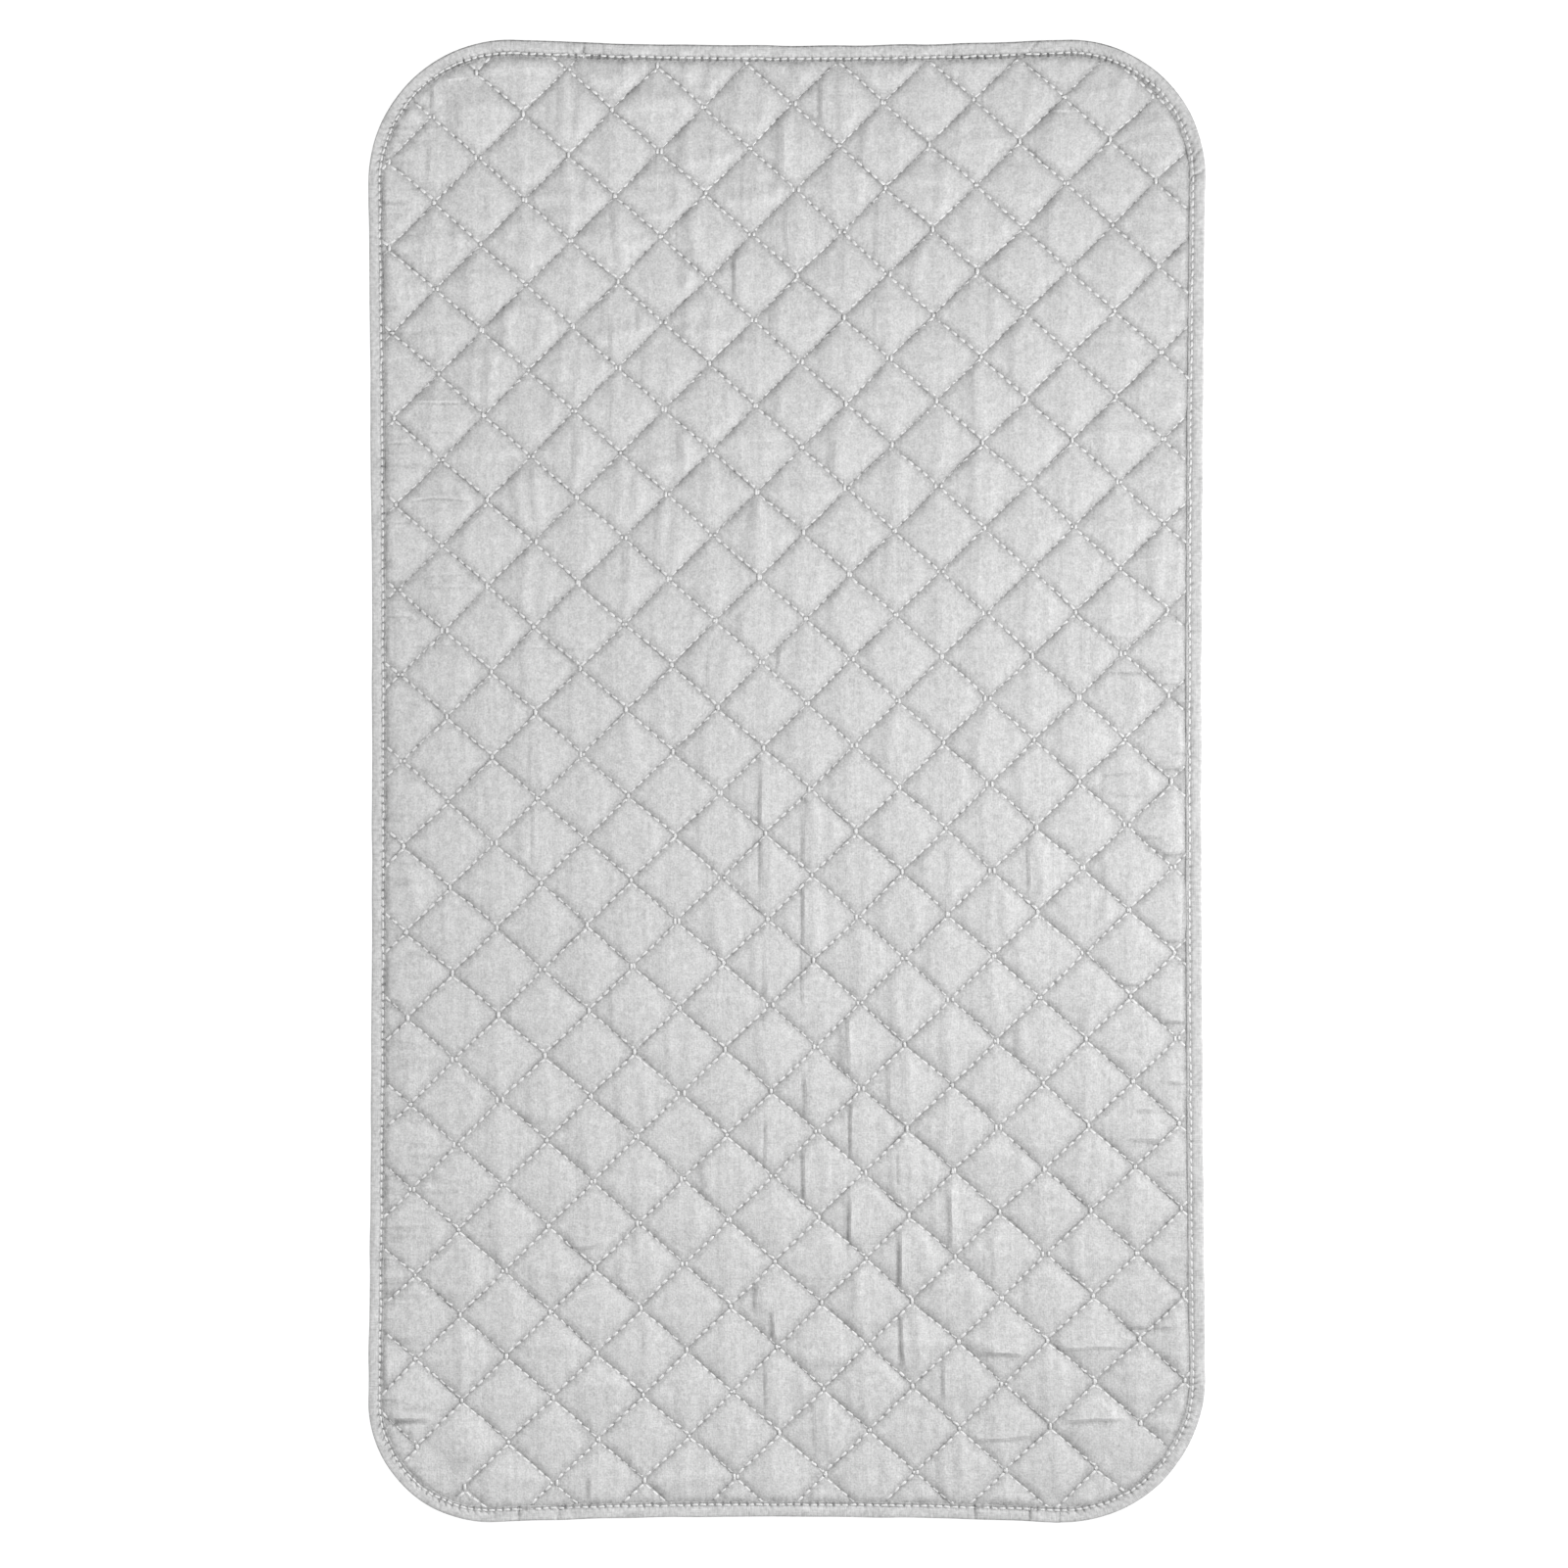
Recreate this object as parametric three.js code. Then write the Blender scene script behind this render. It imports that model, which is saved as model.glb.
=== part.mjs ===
// A quilted ironing pad. A silver-grey face cloth and a plain backing cloth have soft padding between
// them, rows of zigzag stitching quilt the three layers in diamonds, folded tape binds the edge, and a
// disc magnet in a diamond near each corner holds the pad on a steel top.
// Millimetres, +Z up. X runs across the pad and Y along it. The origin is under the middle of the pad, on
// the surface that it lies on.

import * as THREE from 'three';

// The cut pad
const padWidth = 480;
const padLength = 850;
const cornerRadius = 76;
const sidePull = 2.2; // the binding draws the middle of each long side in this far
const endPull = 3.4; // and the middle of each end

// The layers
const faceClothThickness = 0.6;
const backingClothThickness = 0.6;
const pressedPadding = 0.8; // the padding under a row of stitches
const facePuff = 2.0; // the crown of a diamond stands this far over the stitches
const tableClearance = 0.2; // under the crowns of the back
const seatGap = 0.3; // between pieces that touch

// The quilting
const diamondWidth = 51.8;
const diamondLength = 49.1;
const rowTilt = 1.71; // degrees that the rows of diamonds climb towards +X
const columnTilt = 1.34; // degrees that the columns of diamonds lean towards -X
const firstCrossing = new THREE.Vector2(12.9, -5.3);
const rowGap = 1.6; // between the points of neighbouring rows of stitching
const quiltMargin = 1; // between the quilting and the tape
const fewestTurns = 4; // a shorter zigzag is a cut end

// The thread
const threadWidth = 0.6;
const threadDepth = 0.5;

// The binding
const tapeWidth = 9.2; // on each face of the pad
const tapeThickness = 1.4; // folded double
const noseDepth = 2; // of the round outer fold
const tipBevel = 0.4;
const seamFromTapeEdge = 2;
const seamGrooveWidth = 2.2;
const seamRecess = 0.1; // the seam's thread lies this far under the face of the tape

// The magnets
const magnetDiameter = 20;
const magnetThickness = 2.5;
const magnetBevel = 0.4;
const magnetFromSide = 57; // the diamond nearest to here holds the magnet
const magnetFromEnd = 44;
const paddingOverMagnet = 1.4;
const pocketClearance = 0.8; // round the magnet, where its diamond is level

// How finely the round stretches are faceted
const cornerSteps = 7;
const sideSteps = 4;
const noseSteps = 6;
const magnetSides = 24;

// Heights of the tape and of the layers where the stitching presses them
const tapeLowerInside = tapeThickness;
const backingPressed = tapeLowerInside + seatGap;
const paddingPressed = backingPressed + backingClothThickness + seatGap;
const facePressed = paddingPressed + pressedPadding + seatGap;
const faceTopPressed = facePressed + faceClothThickness;
const tapeUpperInside = faceTopPressed + seatGap;
const tapeTop = tapeUpperInside + tapeThickness;
const seamGrooveDepth = seamRecess + threadDepth + seatGap;
const magnetSeat = tableClearance + backingClothThickness + seatGap;

// Heights of each layer's two surfaces at the stitches, at a crown and over a magnet
const raised = (surface, by) => ({
  pressed: surface.pressed + by,
  crown: surface.crown + by,
  magnet: surface.magnet + by,
});
const faceCrown = faceTopPressed + facePuff;
const backingLower = { pressed: backingPressed, crown: tableClearance, magnet: tableClearance };
const backingUpper = raised(backingLower, backingClothThickness);
const paddingOverMagnetLower = magnetSeat + magnetThickness + seatGap;
const paddingLower = { ...raised(backingUpper, seatGap), magnet: paddingOverMagnetLower };
const paddingUpper = {
  pressed: paddingPressed + pressedPadding,
  crown: faceCrown - faceClothThickness - seatGap,
  magnet: paddingOverMagnetLower + paddingOverMagnet,
};
const faceLower = raised(paddingUpper, seatGap);
const faceUpper = raised(faceLower, faceClothThickness);

// The outline of the pad, anticlockwise: round corners joined by sides that are drawn in
function outlineStations() {
  const stations = [];
  const straightX = padWidth / 2 - cornerRadius;
  const straightY = padLength / 2 - cornerRadius;
  const corners = [[1, 1], [-1, 1], [-1, -1], [1, -1]];
  const cornerPlace = (corner, outward) =>
    new THREE.Vector2(corner[0] * straightX, corner[1] * straightY).addScaledVector(outward, cornerRadius);
  const direction = (angle) => new THREE.Vector2(Math.cos(angle), Math.sin(angle));
  corners.forEach((corner, k) => {
    for (let step = 0; step <= cornerSteps; step += 1) {
      const outward = direction((Math.PI / 2) * (k + step / cornerSteps));
      stations.push({ place: cornerPlace(corner, outward), outward });
    }
    const sideways = direction((Math.PI / 2) * (k + 1));
    const start = cornerPlace(corner, sideways);
    const end = cornerPlace(corners[(k + 1) % corners.length], sideways);
    const pull = k % 2 === 0 ? endPull : sidePull;
    const middle = start.clone().lerp(end, 0.5).addScaledVector(sideways, -2 * pull);
    const side = new THREE.QuadraticBezierCurve(start, middle, end);
    for (let step = 1; step < sideSteps; step += 1) {
      const along = side.getTangent(step / sideSteps);
      const outward = new THREE.Vector2(along.y, -along.x);
      stations.push({ place: side.getPoint(step / sideSteps), outward });
    }
  });
  return stations;
}
const outline = outlineStations();

// The outline again, this far inside the edge
function insetOutline(inset) {
  return outline.map(({ place, outward }) => place.clone().addScaledVector(outward, -inset));
}

function isInside(place, loop) {
  let inside = false;
  loop.forEach((b, k) => {
    const a = loop[(k + loop.length - 1) % loop.length];
    const spans = a.y > place.y !== b.y > place.y;
    if (spans && place.x < a.x + ((place.y - a.y) * (b.x - a.x)) / (b.y - a.y)) {
      inside = !inside;
    }
  });
  return inside;
}

// The lattice of the quilting: stitching crosses where column plus row is even, and a diamond is centred
// where it is odd
const acrossDirection = new THREE.Vector2(1, 0).rotateAround(
  new THREE.Vector2(),
  THREE.MathUtils.degToRad(rowTilt),
);
const alongDirection = new THREE.Vector2(0, 1).rotateAround(
  new THREE.Vector2(),
  THREE.MathUtils.degToRad(columnTilt),
);
const lastColumn = Math.ceil(padWidth / diamondWidth) + 3;
const lastRow = Math.ceil(padLength / diamondLength) + 3;
const quiltEdge = insetOutline(tapeWidth + quiltMargin);

function latticePlace(column, row) {
  return firstCrossing
    .clone()
    .addScaledVector(acrossDirection, (column * diamondWidth) / 2)
    .addScaledVector(alongDirection, (row * diamondLength) / 2);
}

function isEven(number) {
  return number % 2 === 0;
}

// The diamonds that the tape leaves whole
function wholeDiamonds() {
  const diamonds = [];
  for (let column = -lastColumn; column <= lastColumn; column += 1) {
    for (let row = -lastRow; row <= lastRow; row += 1) {
      const corners = [[column + 1, row], [column, row + 1], [column - 1, row], [column, row - 1]];
      const whole = corners.every(([c, r]) => isInside(latticePlace(c, r), quiltEdge));
      if (whole && !isEven(column + row)) {
        diamonds.push({ centre: latticePlace(column, row), corners });
      }
    }
  }
  return diamonds;
}
const diamonds = wholeDiamonds();

// The diamond near each corner of the pad that holds a magnet
function magnetDiamond(signX, signY) {
  const wanted = new THREE.Vector2(
    signX * (padWidth / 2 - magnetFromSide),
    signY * (padLength / 2 - magnetFromEnd),
  );
  const away = (diamond) => diamond.centre.distanceTo(wanted);
  return diamonds.reduce((best, diamond) => (away(diamond) < away(best) ? diamond : best));
}
const magnetPlaces = [
  { name: 'corner_magnet_front_left', diamond: magnetDiamond(-1, -1) },
  { name: 'corner_magnet_front_right', diamond: magnetDiamond(1, -1) },
  { name: 'corner_magnet_back_left', diamond: magnetDiamond(-1, 1) },
  { name: 'corner_magnet_back_right', diamond: magnetDiamond(1, 1) },
];

// The plan that every layer shares: a fan of triangles round the crown of each whole diamond, a level
// patch where a magnet lies, and a flat border from there to the rim
function quiltPlan() {
  const points = [];
  const triangles = [];
  const addPoint = (place, height) => points.push({ place, height }) - 1;
  const rim = insetOutline(tapeThickness + seatGap).map((place) => addPoint(place, 'pressed'));
  const crossings = new Map();
  const crossing = ([column, row]) => {
    const key = `${column},${row}`;
    if (!crossings.has(key)) {
      crossings.set(key, addPoint(latticePlace(column, row), 'pressed'));
    }
    return crossings.get(key);
  };

  const diamondInradius = (diamondWidth * diamondLength) / 2 / Math.hypot(diamondWidth, diamondLength);
  const levelShare = (magnetDiameter / 2 + pocketClearance) / diamondInradius;
  const sides = new Map();
  for (const diamond of diamonds) {
    const corners = diamond.corners.map(crossing);
    const holdsMagnet = magnetPlaces.some((magnet) => magnet.diamond === diamond);
    const inner = holdsMagnet
      ? corners.map((corner) => {
          const place = diamond.centre.clone().lerp(points[corner].place, levelShare);
          return addPoint(place, 'magnet');
        })
      : corners.map(() => null);
    const crown = holdsMagnet ? null : addPoint(diamond.centre, 'crown');
    corners.forEach((from, k) => {
      const next = (k + 1) % corners.length;
      const to = corners[next];
      sides.set(`${from}>${to}`, [from, to]);
      if (holdsMagnet) {
        triangles.push([from, to, inner[next]], [from, inner[next], inner[k]]);
      } else {
        triangles.push([from, to, crown]);
      }
    });
    if (holdsMagnet) {
      triangles.push([inner[0], inner[1], inner[2]], [inner[0], inner[2], inner[3]]);
    }
  }

  const nextOnEdge = new Map();
  for (const [from, to] of sides.values()) {
    if (!sides.has(`${to}>${from}`)) {
      nextOnEdge.set(from, to);
    }
  }
  const edge = [nextOnEdge.keys().next().value];
  while (edge.length < nextOnEdge.size) {
    edge.push(nextOnEdge.get(edge[edge.length - 1]));
  }
  edge.reverse();
  const border = [...rim, ...edge];
  const places = (loop) => loop.map((index) => points[index].place);
  for (const triangle of THREE.ShapeUtils.triangulateShape(places(rim), [places(edge)])) {
    triangles.push(triangle.map((k) => border[k]));
  }
  return { points, triangles, rim };
}
const plan = quiltPlan();

// A closed mesh from points and triangles, with its faces turned outwards
function closedGeometry(points, triangles) {
  const volume = triangles.reduce((sum, [a, b, c]) => {
    const across = new THREE.Vector3().crossVectors(points[b], points[c]);
    return sum + points[a].dot(across) / 6;
  }, 0);
  const facing = volume < 0 ? triangles.map(([a, b, c]) => [a, c, b]) : triangles;
  const geometry = new THREE.BufferGeometry().setFromPoints(points);
  geometry.setIndex(facing.flat());
  geometry.computeVertexNormals();
  return geometry;
}

// One quilted layer, between its lower and its upper surface
function layerGeometry(lower, upper) {
  const count = plan.points.length;
  const surface = (heights) =>
    plan.points.map(({ place, height }) => new THREE.Vector3(place.x, place.y, heights[height]));
  const triangles = [];
  for (const [a, b, c] of plan.triangles) {
    triangles.push([a + count, b + count, c + count], [a, c, b]);
  }
  plan.rim.forEach((from, k) => {
    const to = plan.rim[(k + 1) % plan.rim.length];
    triangles.push([from, to, to + count], [from, to + count, from + count]);
  });
  return closedGeometry([...surface(lower), ...surface(upper)], triangles);
}

// A skin over rings of points, either closed round on itself or ended by a three-cornered ring
function sweptGeometry(rings, closed) {
  const size = rings[0].length;
  const triangles = [];
  const spans = closed ? rings.length : rings.length - 1;
  for (let ring = 0; ring < spans; ring += 1) {
    const here = ring * size;
    const there = ((ring + 1) % rings.length) * size;
    for (let k = 0; k < size; k += 1) {
      const next = (k + 1) % size;
      triangles.push([here + k, there + k, there + next], [here + k, there + next, here + next]);
    }
  }
  if (!closed) {
    const last = (rings.length - 1) * size;
    triangles.push([0, 1, 2], [last, last + 2, last + 1]);
  }
  return closedGeometry(rings.flat(), triangles);
}

// The folded tape: a section with the inset from the edge as x and the height as y, carried round the edge
function bindingGeometry() {
  const seam = tapeWidth - seamFromTapeEdge;
  const grooveHalf = seamGrooveWidth / 2;
  const section = [];
  const corner = (inset, height) => section.push(new THREE.Vector2(inset, height));
  for (let step = 0; step <= noseSteps; step += 1) {
    const angle = Math.PI * (step / noseSteps - 0.5);
    corner(noseDepth * (1 - Math.cos(angle)), (tapeTop / 2) * (1 + Math.sin(angle)));
  }
  corner(seam - grooveHalf, tapeTop);
  corner(seam, tapeTop - seamGrooveDepth);
  corner(seam + grooveHalf, tapeTop);
  corner(tapeWidth - tipBevel, tapeTop);
  corner(tapeWidth, tapeTop - tipBevel);
  corner(tapeWidth, tapeUpperInside);
  corner(tapeThickness, tapeUpperInside);
  corner(tapeThickness, tapeLowerInside);
  corner(tapeWidth, tapeLowerInside);
  corner(tapeWidth, tipBevel);
  corner(tapeWidth - tipBevel, 0);
  corner(seam + grooveHalf, 0);
  corner(seam, seamGrooveDepth);
  corner(seam - grooveHalf, 0);
  const rings = outline.map(({ place, outward }) =>
    section.map(({ x: inset, y: height }) => {
      const at = place.clone().addScaledVector(outward, -inset);
      return new THREE.Vector3(at.x, at.y, height);
    }),
  );
  return sweptGeometry(rings, true);
}

// A thread is three-cornered: flat outside, with a keel towards the cloth
function threadRing(place, sideways, halfWidth, keelHeight, flatHeight) {
  const left = place.clone().addScaledVector(sideways, -halfWidth);
  const right = place.clone().addScaledVector(sideways, halfWidth);
  return [
    new THREE.Vector3(left.x, left.y, flatHeight),
    new THREE.Vector3(right.x, right.y, flatHeight),
    new THREE.Vector3(place.x, place.y, keelHeight),
  ];
}

// The seam that holds the tape, lying in the tape's groove
function seamGeometry(keelHeight, flatHeight) {
  const inset = tapeWidth - seamFromTapeEdge;
  const rings = outline.map(({ place, outward }) => {
    const at = place.clone().addScaledVector(outward, -inset);
    return threadRing(at, outward, threadWidth / 2, keelHeight, flatHeight);
  });
  return sweptGeometry(rings, true);
}

// One point of a zigzag row, which runs between a column of crossings and the next
function zigzagTurn(column, row) {
  const atFirst = isEven(column + row);
  const place = latticePlace(atFirst ? column : column + 1, row);
  return place.addScaledVector(acrossDirection, (atFirst ? 1 : -1) * (rowGap / 2));
}

// Where the way from a place inside the quilting to one outside it meets the quilting's edge
function edgeBetween(insidePlace, outsidePlace) {
  const halvings = 24;
  let near = 0;
  let far = 1;
  for (let k = 0; k < halvings; k += 1) {
    const middle = (near + far) / 2;
    if (isInside(insidePlace.clone().lerp(outsidePlace, middle), quiltEdge)) {
      near = middle;
    } else {
      far = middle;
    }
  }
  return insidePlace.clone().lerp(outsidePlace, near);
}

// The longest unbroken stretch of a zigzag row, with its ends at the tape
function zigzagRun(column) {
  let best = [];
  let run = [];
  for (let row = -lastRow; row <= lastRow; row += 1) {
    const turn = zigzagTurn(column, row);
    if (isInside(turn, quiltEdge)) {
      if (run.length === 0) {
        run.push(edgeBetween(turn, zigzagTurn(column, row - 1)));
      }
      run.push(turn);
    } else {
      if (run.length > 0) {
        run.push(edgeBetween(run[run.length - 1], turn));
      }
      best = run.length > best.length ? run : best;
      run = [];
    }
  }
  return best;
}

// The turns of a row are mitred, so the thread is as wide on its slants as its own width
const slantAngle = Math.atan2(diamondLength, diamondWidth);
const mitredHalfWidth = threadWidth / 2 / Math.sin(slantAngle);

function rowGeometry(run, keelHeight, flatHeight) {
  const rings = run.map((place) =>
    threadRing(place, acrossDirection, mitredHalfWidth, keelHeight, flatHeight),
  );
  return sweptGeometry(rings, false);
}

// A bevelled disc that stands on the origin
function magnetGeometry() {
  const radius = magnetDiameter / 2;
  const profile = [
    new THREE.Vector2(0, 0),
    new THREE.Vector2(radius - magnetBevel, 0),
    new THREE.Vector2(radius, magnetBevel),
    new THREE.Vector2(radius, magnetThickness - magnetBevel),
    new THREE.Vector2(radius - magnetBevel, magnetThickness),
    new THREE.Vector2(0, magnetThickness),
  ];
  return new THREE.LatheGeometry(profile, magnetSides).rotateX(Math.PI / 2);
}

// Materials
const faceFabric = new THREE.MeshStandardMaterial({ color: 0xcfcfd0, roughness: 0.6, metalness: 0 });
const backingFabric = new THREE.MeshStandardMaterial({ color: 0xd9d7d2, roughness: 0.9, metalness: 0 });
const tapeFabric = new THREE.MeshStandardMaterial({ color: 0xc6c6c7, roughness: 0.75, metalness: 0 });
const fleece = new THREE.MeshStandardMaterial({ color: 0xf1f0ec, roughness: 1, metalness: 0 });
const sewingThread = new THREE.MeshStandardMaterial({ color: 0xe8e8e8, roughness: 0.6, metalness: 0 });
const platedMagnet = new THREE.MeshStandardMaterial({ color: 0xbfc0c2, roughness: 0.3, metalness: 1 });

// The assembly
const ironingPad = new THREE.Group();

function addPiece(name, geometry, material) {
  const piece = new THREE.Mesh(geometry, material);
  piece.name = name;
  ironingPad.add(piece);
  return piece;
}

addPiece('face_cloth', layerGeometry(faceLower, faceUpper), faceFabric);
addPiece('batting', layerGeometry(paddingLower, paddingUpper), fleece);
addPiece('backing_cloth', layerGeometry(backingLower, backingUpper), backingFabric);
addPiece('edge_binding', bindingGeometry(), tapeFabric);

for (const { name, diamond } of magnetPlaces) {
  const magnet = addPiece(name, magnetGeometry(), platedMagnet);
  magnet.position.set(diamond.centre.x, diamond.centre.y, magnetSeat);
}

const upperKeel = tapeTop - seamGrooveDepth + seatGap;
const lowerKeel = seamGrooveDepth - seatGap;
addPiece('binding_seam_needle_thread', seamGeometry(upperKeel, upperKeel + threadDepth), sewingThread);
addPiece('binding_seam_bobbin_thread', seamGeometry(lowerKeel, lowerKeel - threadDepth), sewingThread);

const needleKeel = faceTopPressed + seatGap;
const bobbinKeel = backingPressed - seatGap;
let rowNumber = 0;
for (let column = -lastColumn; column < lastColumn; column += 1) {
  const run = zigzagRun(column);
  if (run.length >= fewestTurns) {
    rowNumber += 1;
    const label = String(rowNumber).padStart(2, '0');
    const needleThread = rowGeometry(run, needleKeel, needleKeel + threadDepth);
    const bobbinThread = rowGeometry(run, bobbinKeel, bobbinKeel - threadDepth);
    addPiece(`needle_thread_${label}`, needleThread, sewingThread);
    addPiece(`bobbin_thread_${label}`, bobbinThread, sewingThread);
  }
}

export default ironingPad;
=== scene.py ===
"""The looks of a quilted ironing pad: face cloth, padding, backing, bound edge and every stitch."""

import math
from types import SimpleNamespace

import bpy
import numpy as np
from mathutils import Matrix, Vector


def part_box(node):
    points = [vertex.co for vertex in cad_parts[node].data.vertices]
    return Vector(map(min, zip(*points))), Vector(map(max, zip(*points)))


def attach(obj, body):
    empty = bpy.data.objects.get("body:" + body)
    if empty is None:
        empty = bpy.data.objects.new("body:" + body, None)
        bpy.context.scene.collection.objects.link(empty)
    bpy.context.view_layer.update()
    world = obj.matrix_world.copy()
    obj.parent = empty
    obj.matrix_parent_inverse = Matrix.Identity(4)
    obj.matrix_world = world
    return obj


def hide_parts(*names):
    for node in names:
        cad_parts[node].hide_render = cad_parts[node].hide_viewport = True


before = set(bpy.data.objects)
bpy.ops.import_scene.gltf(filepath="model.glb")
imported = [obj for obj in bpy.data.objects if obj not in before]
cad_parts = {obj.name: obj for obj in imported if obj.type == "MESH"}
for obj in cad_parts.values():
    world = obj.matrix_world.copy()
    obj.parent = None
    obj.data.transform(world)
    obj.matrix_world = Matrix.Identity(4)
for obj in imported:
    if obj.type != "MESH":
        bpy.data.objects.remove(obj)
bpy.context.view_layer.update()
magnets = [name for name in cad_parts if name.startswith("corner_magnet")]

# Outline of the pad, in metres. A corner is named by the signs of its x and y.
PAD_WIDTH = 0.480
PAD_LENGTH = 0.850
CORNER_RADII = {(1, -1): 0.083, (1, 1): 0.078, (-1, 1): 0.082, (-1, -1): 0.070}
SIDE_PULL = 0.0022
END_PULL = 0.0034

# Quilting: a lattice of diamonds, sewn as mirrored zigzag rows that run the pad's length
DIAMOND_WIDTH = 0.0518
DIAMOND_LENGTH = 0.0491
ROW_TILT = math.radians(1.71)
COLUMN_TILT = math.radians(1.34)
FIRST_CROSSING = np.array([0.0129, -0.0053])
STITCHES_PER_EDGE = 7
LATTICE_REACH = 15

# The sewn lines sag towards both sides of the pad and waver a little
ROW_SAG = 0.0015
WANDER = 0.0006
WANDER_LENGTH = 0.035

# Middles of the diamond sides whose stitches were picked out again, near three of the corners
UNPICKED = ((-0.1923, 0.3930), (-0.1985, -0.3927), (0.1917, -0.3840))

# Heights over the table
FACE_SEWN = 0.0043
BACKING_SEWN = 0.0017
BACKING_LOW = 0.0002
LAYER_GAP = 0.0006

# The cloths end this far inside the pad's edge
CLOTH_RIM = 0.0020

# Bound edge: tape of the cut width, folded over the edge and held by one row of stitches. A side is named by
# the direction that it faces, and has its own share of the folded width.
TAPE_WIDTH = 0.0092
TAPE_SHARES = {(1, 0): 1.0, (0, 1): 1.03, (-1, 0): 0.87, (0, -1): 0.95}
SEAM_IN = 0.0072
SEAM_STITCH = 0.0045
SEAM_TOP = 0.0047
SEAM_UNDER = 0.00035

# Thread of the quilting, and the shares of its thickness that the seam's two threads have
THREAD_WIDTH = 0.00185
THREAD_HEIGHT = 0.00056
SEAM_TOP_THREAD = 0.8
SEAM_UNDER_THREAD = 0.4
HOLE_RADIUS = 0.00045

ACROSS = DIAMOND_WIDTH / 2 * np.array([math.cos(ROW_TILT), math.sin(ROW_TILT)])
ALONG = DIAMOND_LENGTH / 2 * np.array([-math.sin(COLUMN_TILT), math.cos(COLUMN_TILT)])
RISING_SIDE = ACROSS + ALONG
FALLING_SIDE = ALONG - ACROSS
SIDE_LENGTH = float(np.linalg.norm(RISING_SIDE) + np.linalg.norm(FALLING_SIDE)) / 2
TO_LATTICE = np.linalg.inv(np.array([RISING_SIDE, FALLING_SIDE]).T)


# Small tools

def blend(table, i, j, a, b):
    """The value between four neighbours in a table, at the shares a and b of the way to the next ones."""
    next_i, next_j = (i + 1) % len(table), (j + 1) % len(table)
    near = table[i, j] * (1 - a) + table[next_i, j] * a
    far = table[i, next_j] * (1 - a) + table[next_i, next_j] * a
    return near * (1 - b) + far * b


def smoother_step(share):
    return share * share * share * (share * (6 * share - 15) + 10)


def soft_noise(u, v, seed):
    """A smooth random field from -1 to 1 that changes over a length of about one."""
    size = 256
    table = np.random.default_rng(seed).uniform(-1, 1, (size, size))
    i, j = np.floor(u).astype(int), np.floor(v).astype(int)
    return blend(table, i % size, j % size, smoother_step(u - i), smoother_step(v - j))


def ripples(u, v, waves):
    """A sum of soft noises, given by the height, the two lengths and the seed of each."""
    return sum(height * soft_noise(u / long, v / wide, seed) for height, long, wide, seed in waves)


def smooth_step(value):
    value = np.clip(value, 0, 1)
    return value * value * (3 - 2 * value)


def bell(distance, width):
    return np.exp(-(distance / width) ** 2)


def run_along(points):
    """How far each point lies along the line that joins them."""
    return np.concatenate([[0], np.cumsum(np.linalg.norm(np.diff(points, axis=0), axis=1))])


def new_object(name, data):
    made = bpy.data.objects.new(name, data)
    bpy.context.scene.collection.objects.link(made)
    return made


def new_piece(name, points, faces, edges=()):
    """A mesh object at the origin, smooth shaded, with its place in its mesh."""
    mesh = bpy.data.meshes.new(name)
    mesh.from_pydata(np.asarray(points).tolist(), list(edges), [list(face) for face in faces])
    mesh.shade_smooth()
    return new_object(name, mesh)


def add_uv(piece, name, uv):
    """Gives each corner of each face its vertex's uv."""
    corners = np.zeros(len(piece.data.loops), int)
    piece.data.loops.foreach_get("vertex_index", corners)
    layer = piece.data.uv_layers.new(name=name)
    layer.data.foreach_set("uv", np.asarray(uv, np.float32)[corners].ravel())


def add_values(piece, name, values):
    attribute = piece.data.attributes.new(name, "FLOAT", "POINT")
    attribute.data.foreach_set("value", np.asarray(values, np.float32))


def add_node(tree, kind, inputs=None, **settings):
    """A node with its settings, and with its inputs set to values or linked to sockets."""
    node = tree.nodes.new(kind)
    for name, value in settings.items():
        setattr(node, name, value)
    for name, value in (inputs or {}).items():
        if isinstance(value, bpy.types.NodeSocket):
            tree.links.new(value, node.inputs[name])
        else:
            node.inputs[name].default_value = value
    return node


# Outline

# How finely the outline is drawn before even stations are taken on it
ARC_POINTS = 90
SIDE_POINTS = 400
# Stations to both sides over which a bend is measured, and how soon a bend counts as a whole corner
BEND_STATIONS = 8
CORNER_GAIN = 1.2


def bow(place, reach):
    """1 at the middle of a side, 0 where its corners start."""
    return np.clip(1 - (place / reach) ** 2, 0, None)


def corner_radius(x, y):
    top = np.where(x > 0, CORNER_RADII[1, 1], CORNER_RADII[-1, 1])
    bottom = np.where(x > 0, CORNER_RADII[1, -1], CORNER_RADII[-1, -1])
    return np.where(y > 0, top, bottom)


def edge_depth(x, y):
    """How far a point lies inside the pad's edge."""
    radius = corner_radius(x, y)
    half_width = PAD_WIDTH / 2 - SIDE_PULL * bow(y, PAD_LENGTH / 2 - radius)
    half_length = PAD_LENGTH / 2 - END_PULL * bow(x, PAD_WIDTH / 2 - radius)
    over_x = np.abs(x) - half_width + radius
    over_y = np.abs(y) - half_length + radius
    outside = np.hypot(np.maximum(over_x, 0), np.maximum(over_y, 0))
    return radius - outside - np.minimum(np.maximum(over_x, over_y), 0)


def inward(x, y):
    """Unit direction from the pad's edge to its inside."""
    step = 1e-5
    along_x = edge_depth(x + step, y) - edge_depth(x - step, y)
    along_y = edge_depth(x, y + step) - edge_depth(x, y - step)
    length = np.hypot(along_x, along_y)
    return along_x / length, along_y / length


def by_side(values, out_x, out_y):
    """The value of the side that faces a direction, blended round the corners."""
    blended = 0
    for (side_x, side_y), value in values.items():
        blended = blended + value * np.clip(out_x * side_x + out_y * side_y, 0, None) ** 2
    return blended


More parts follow.
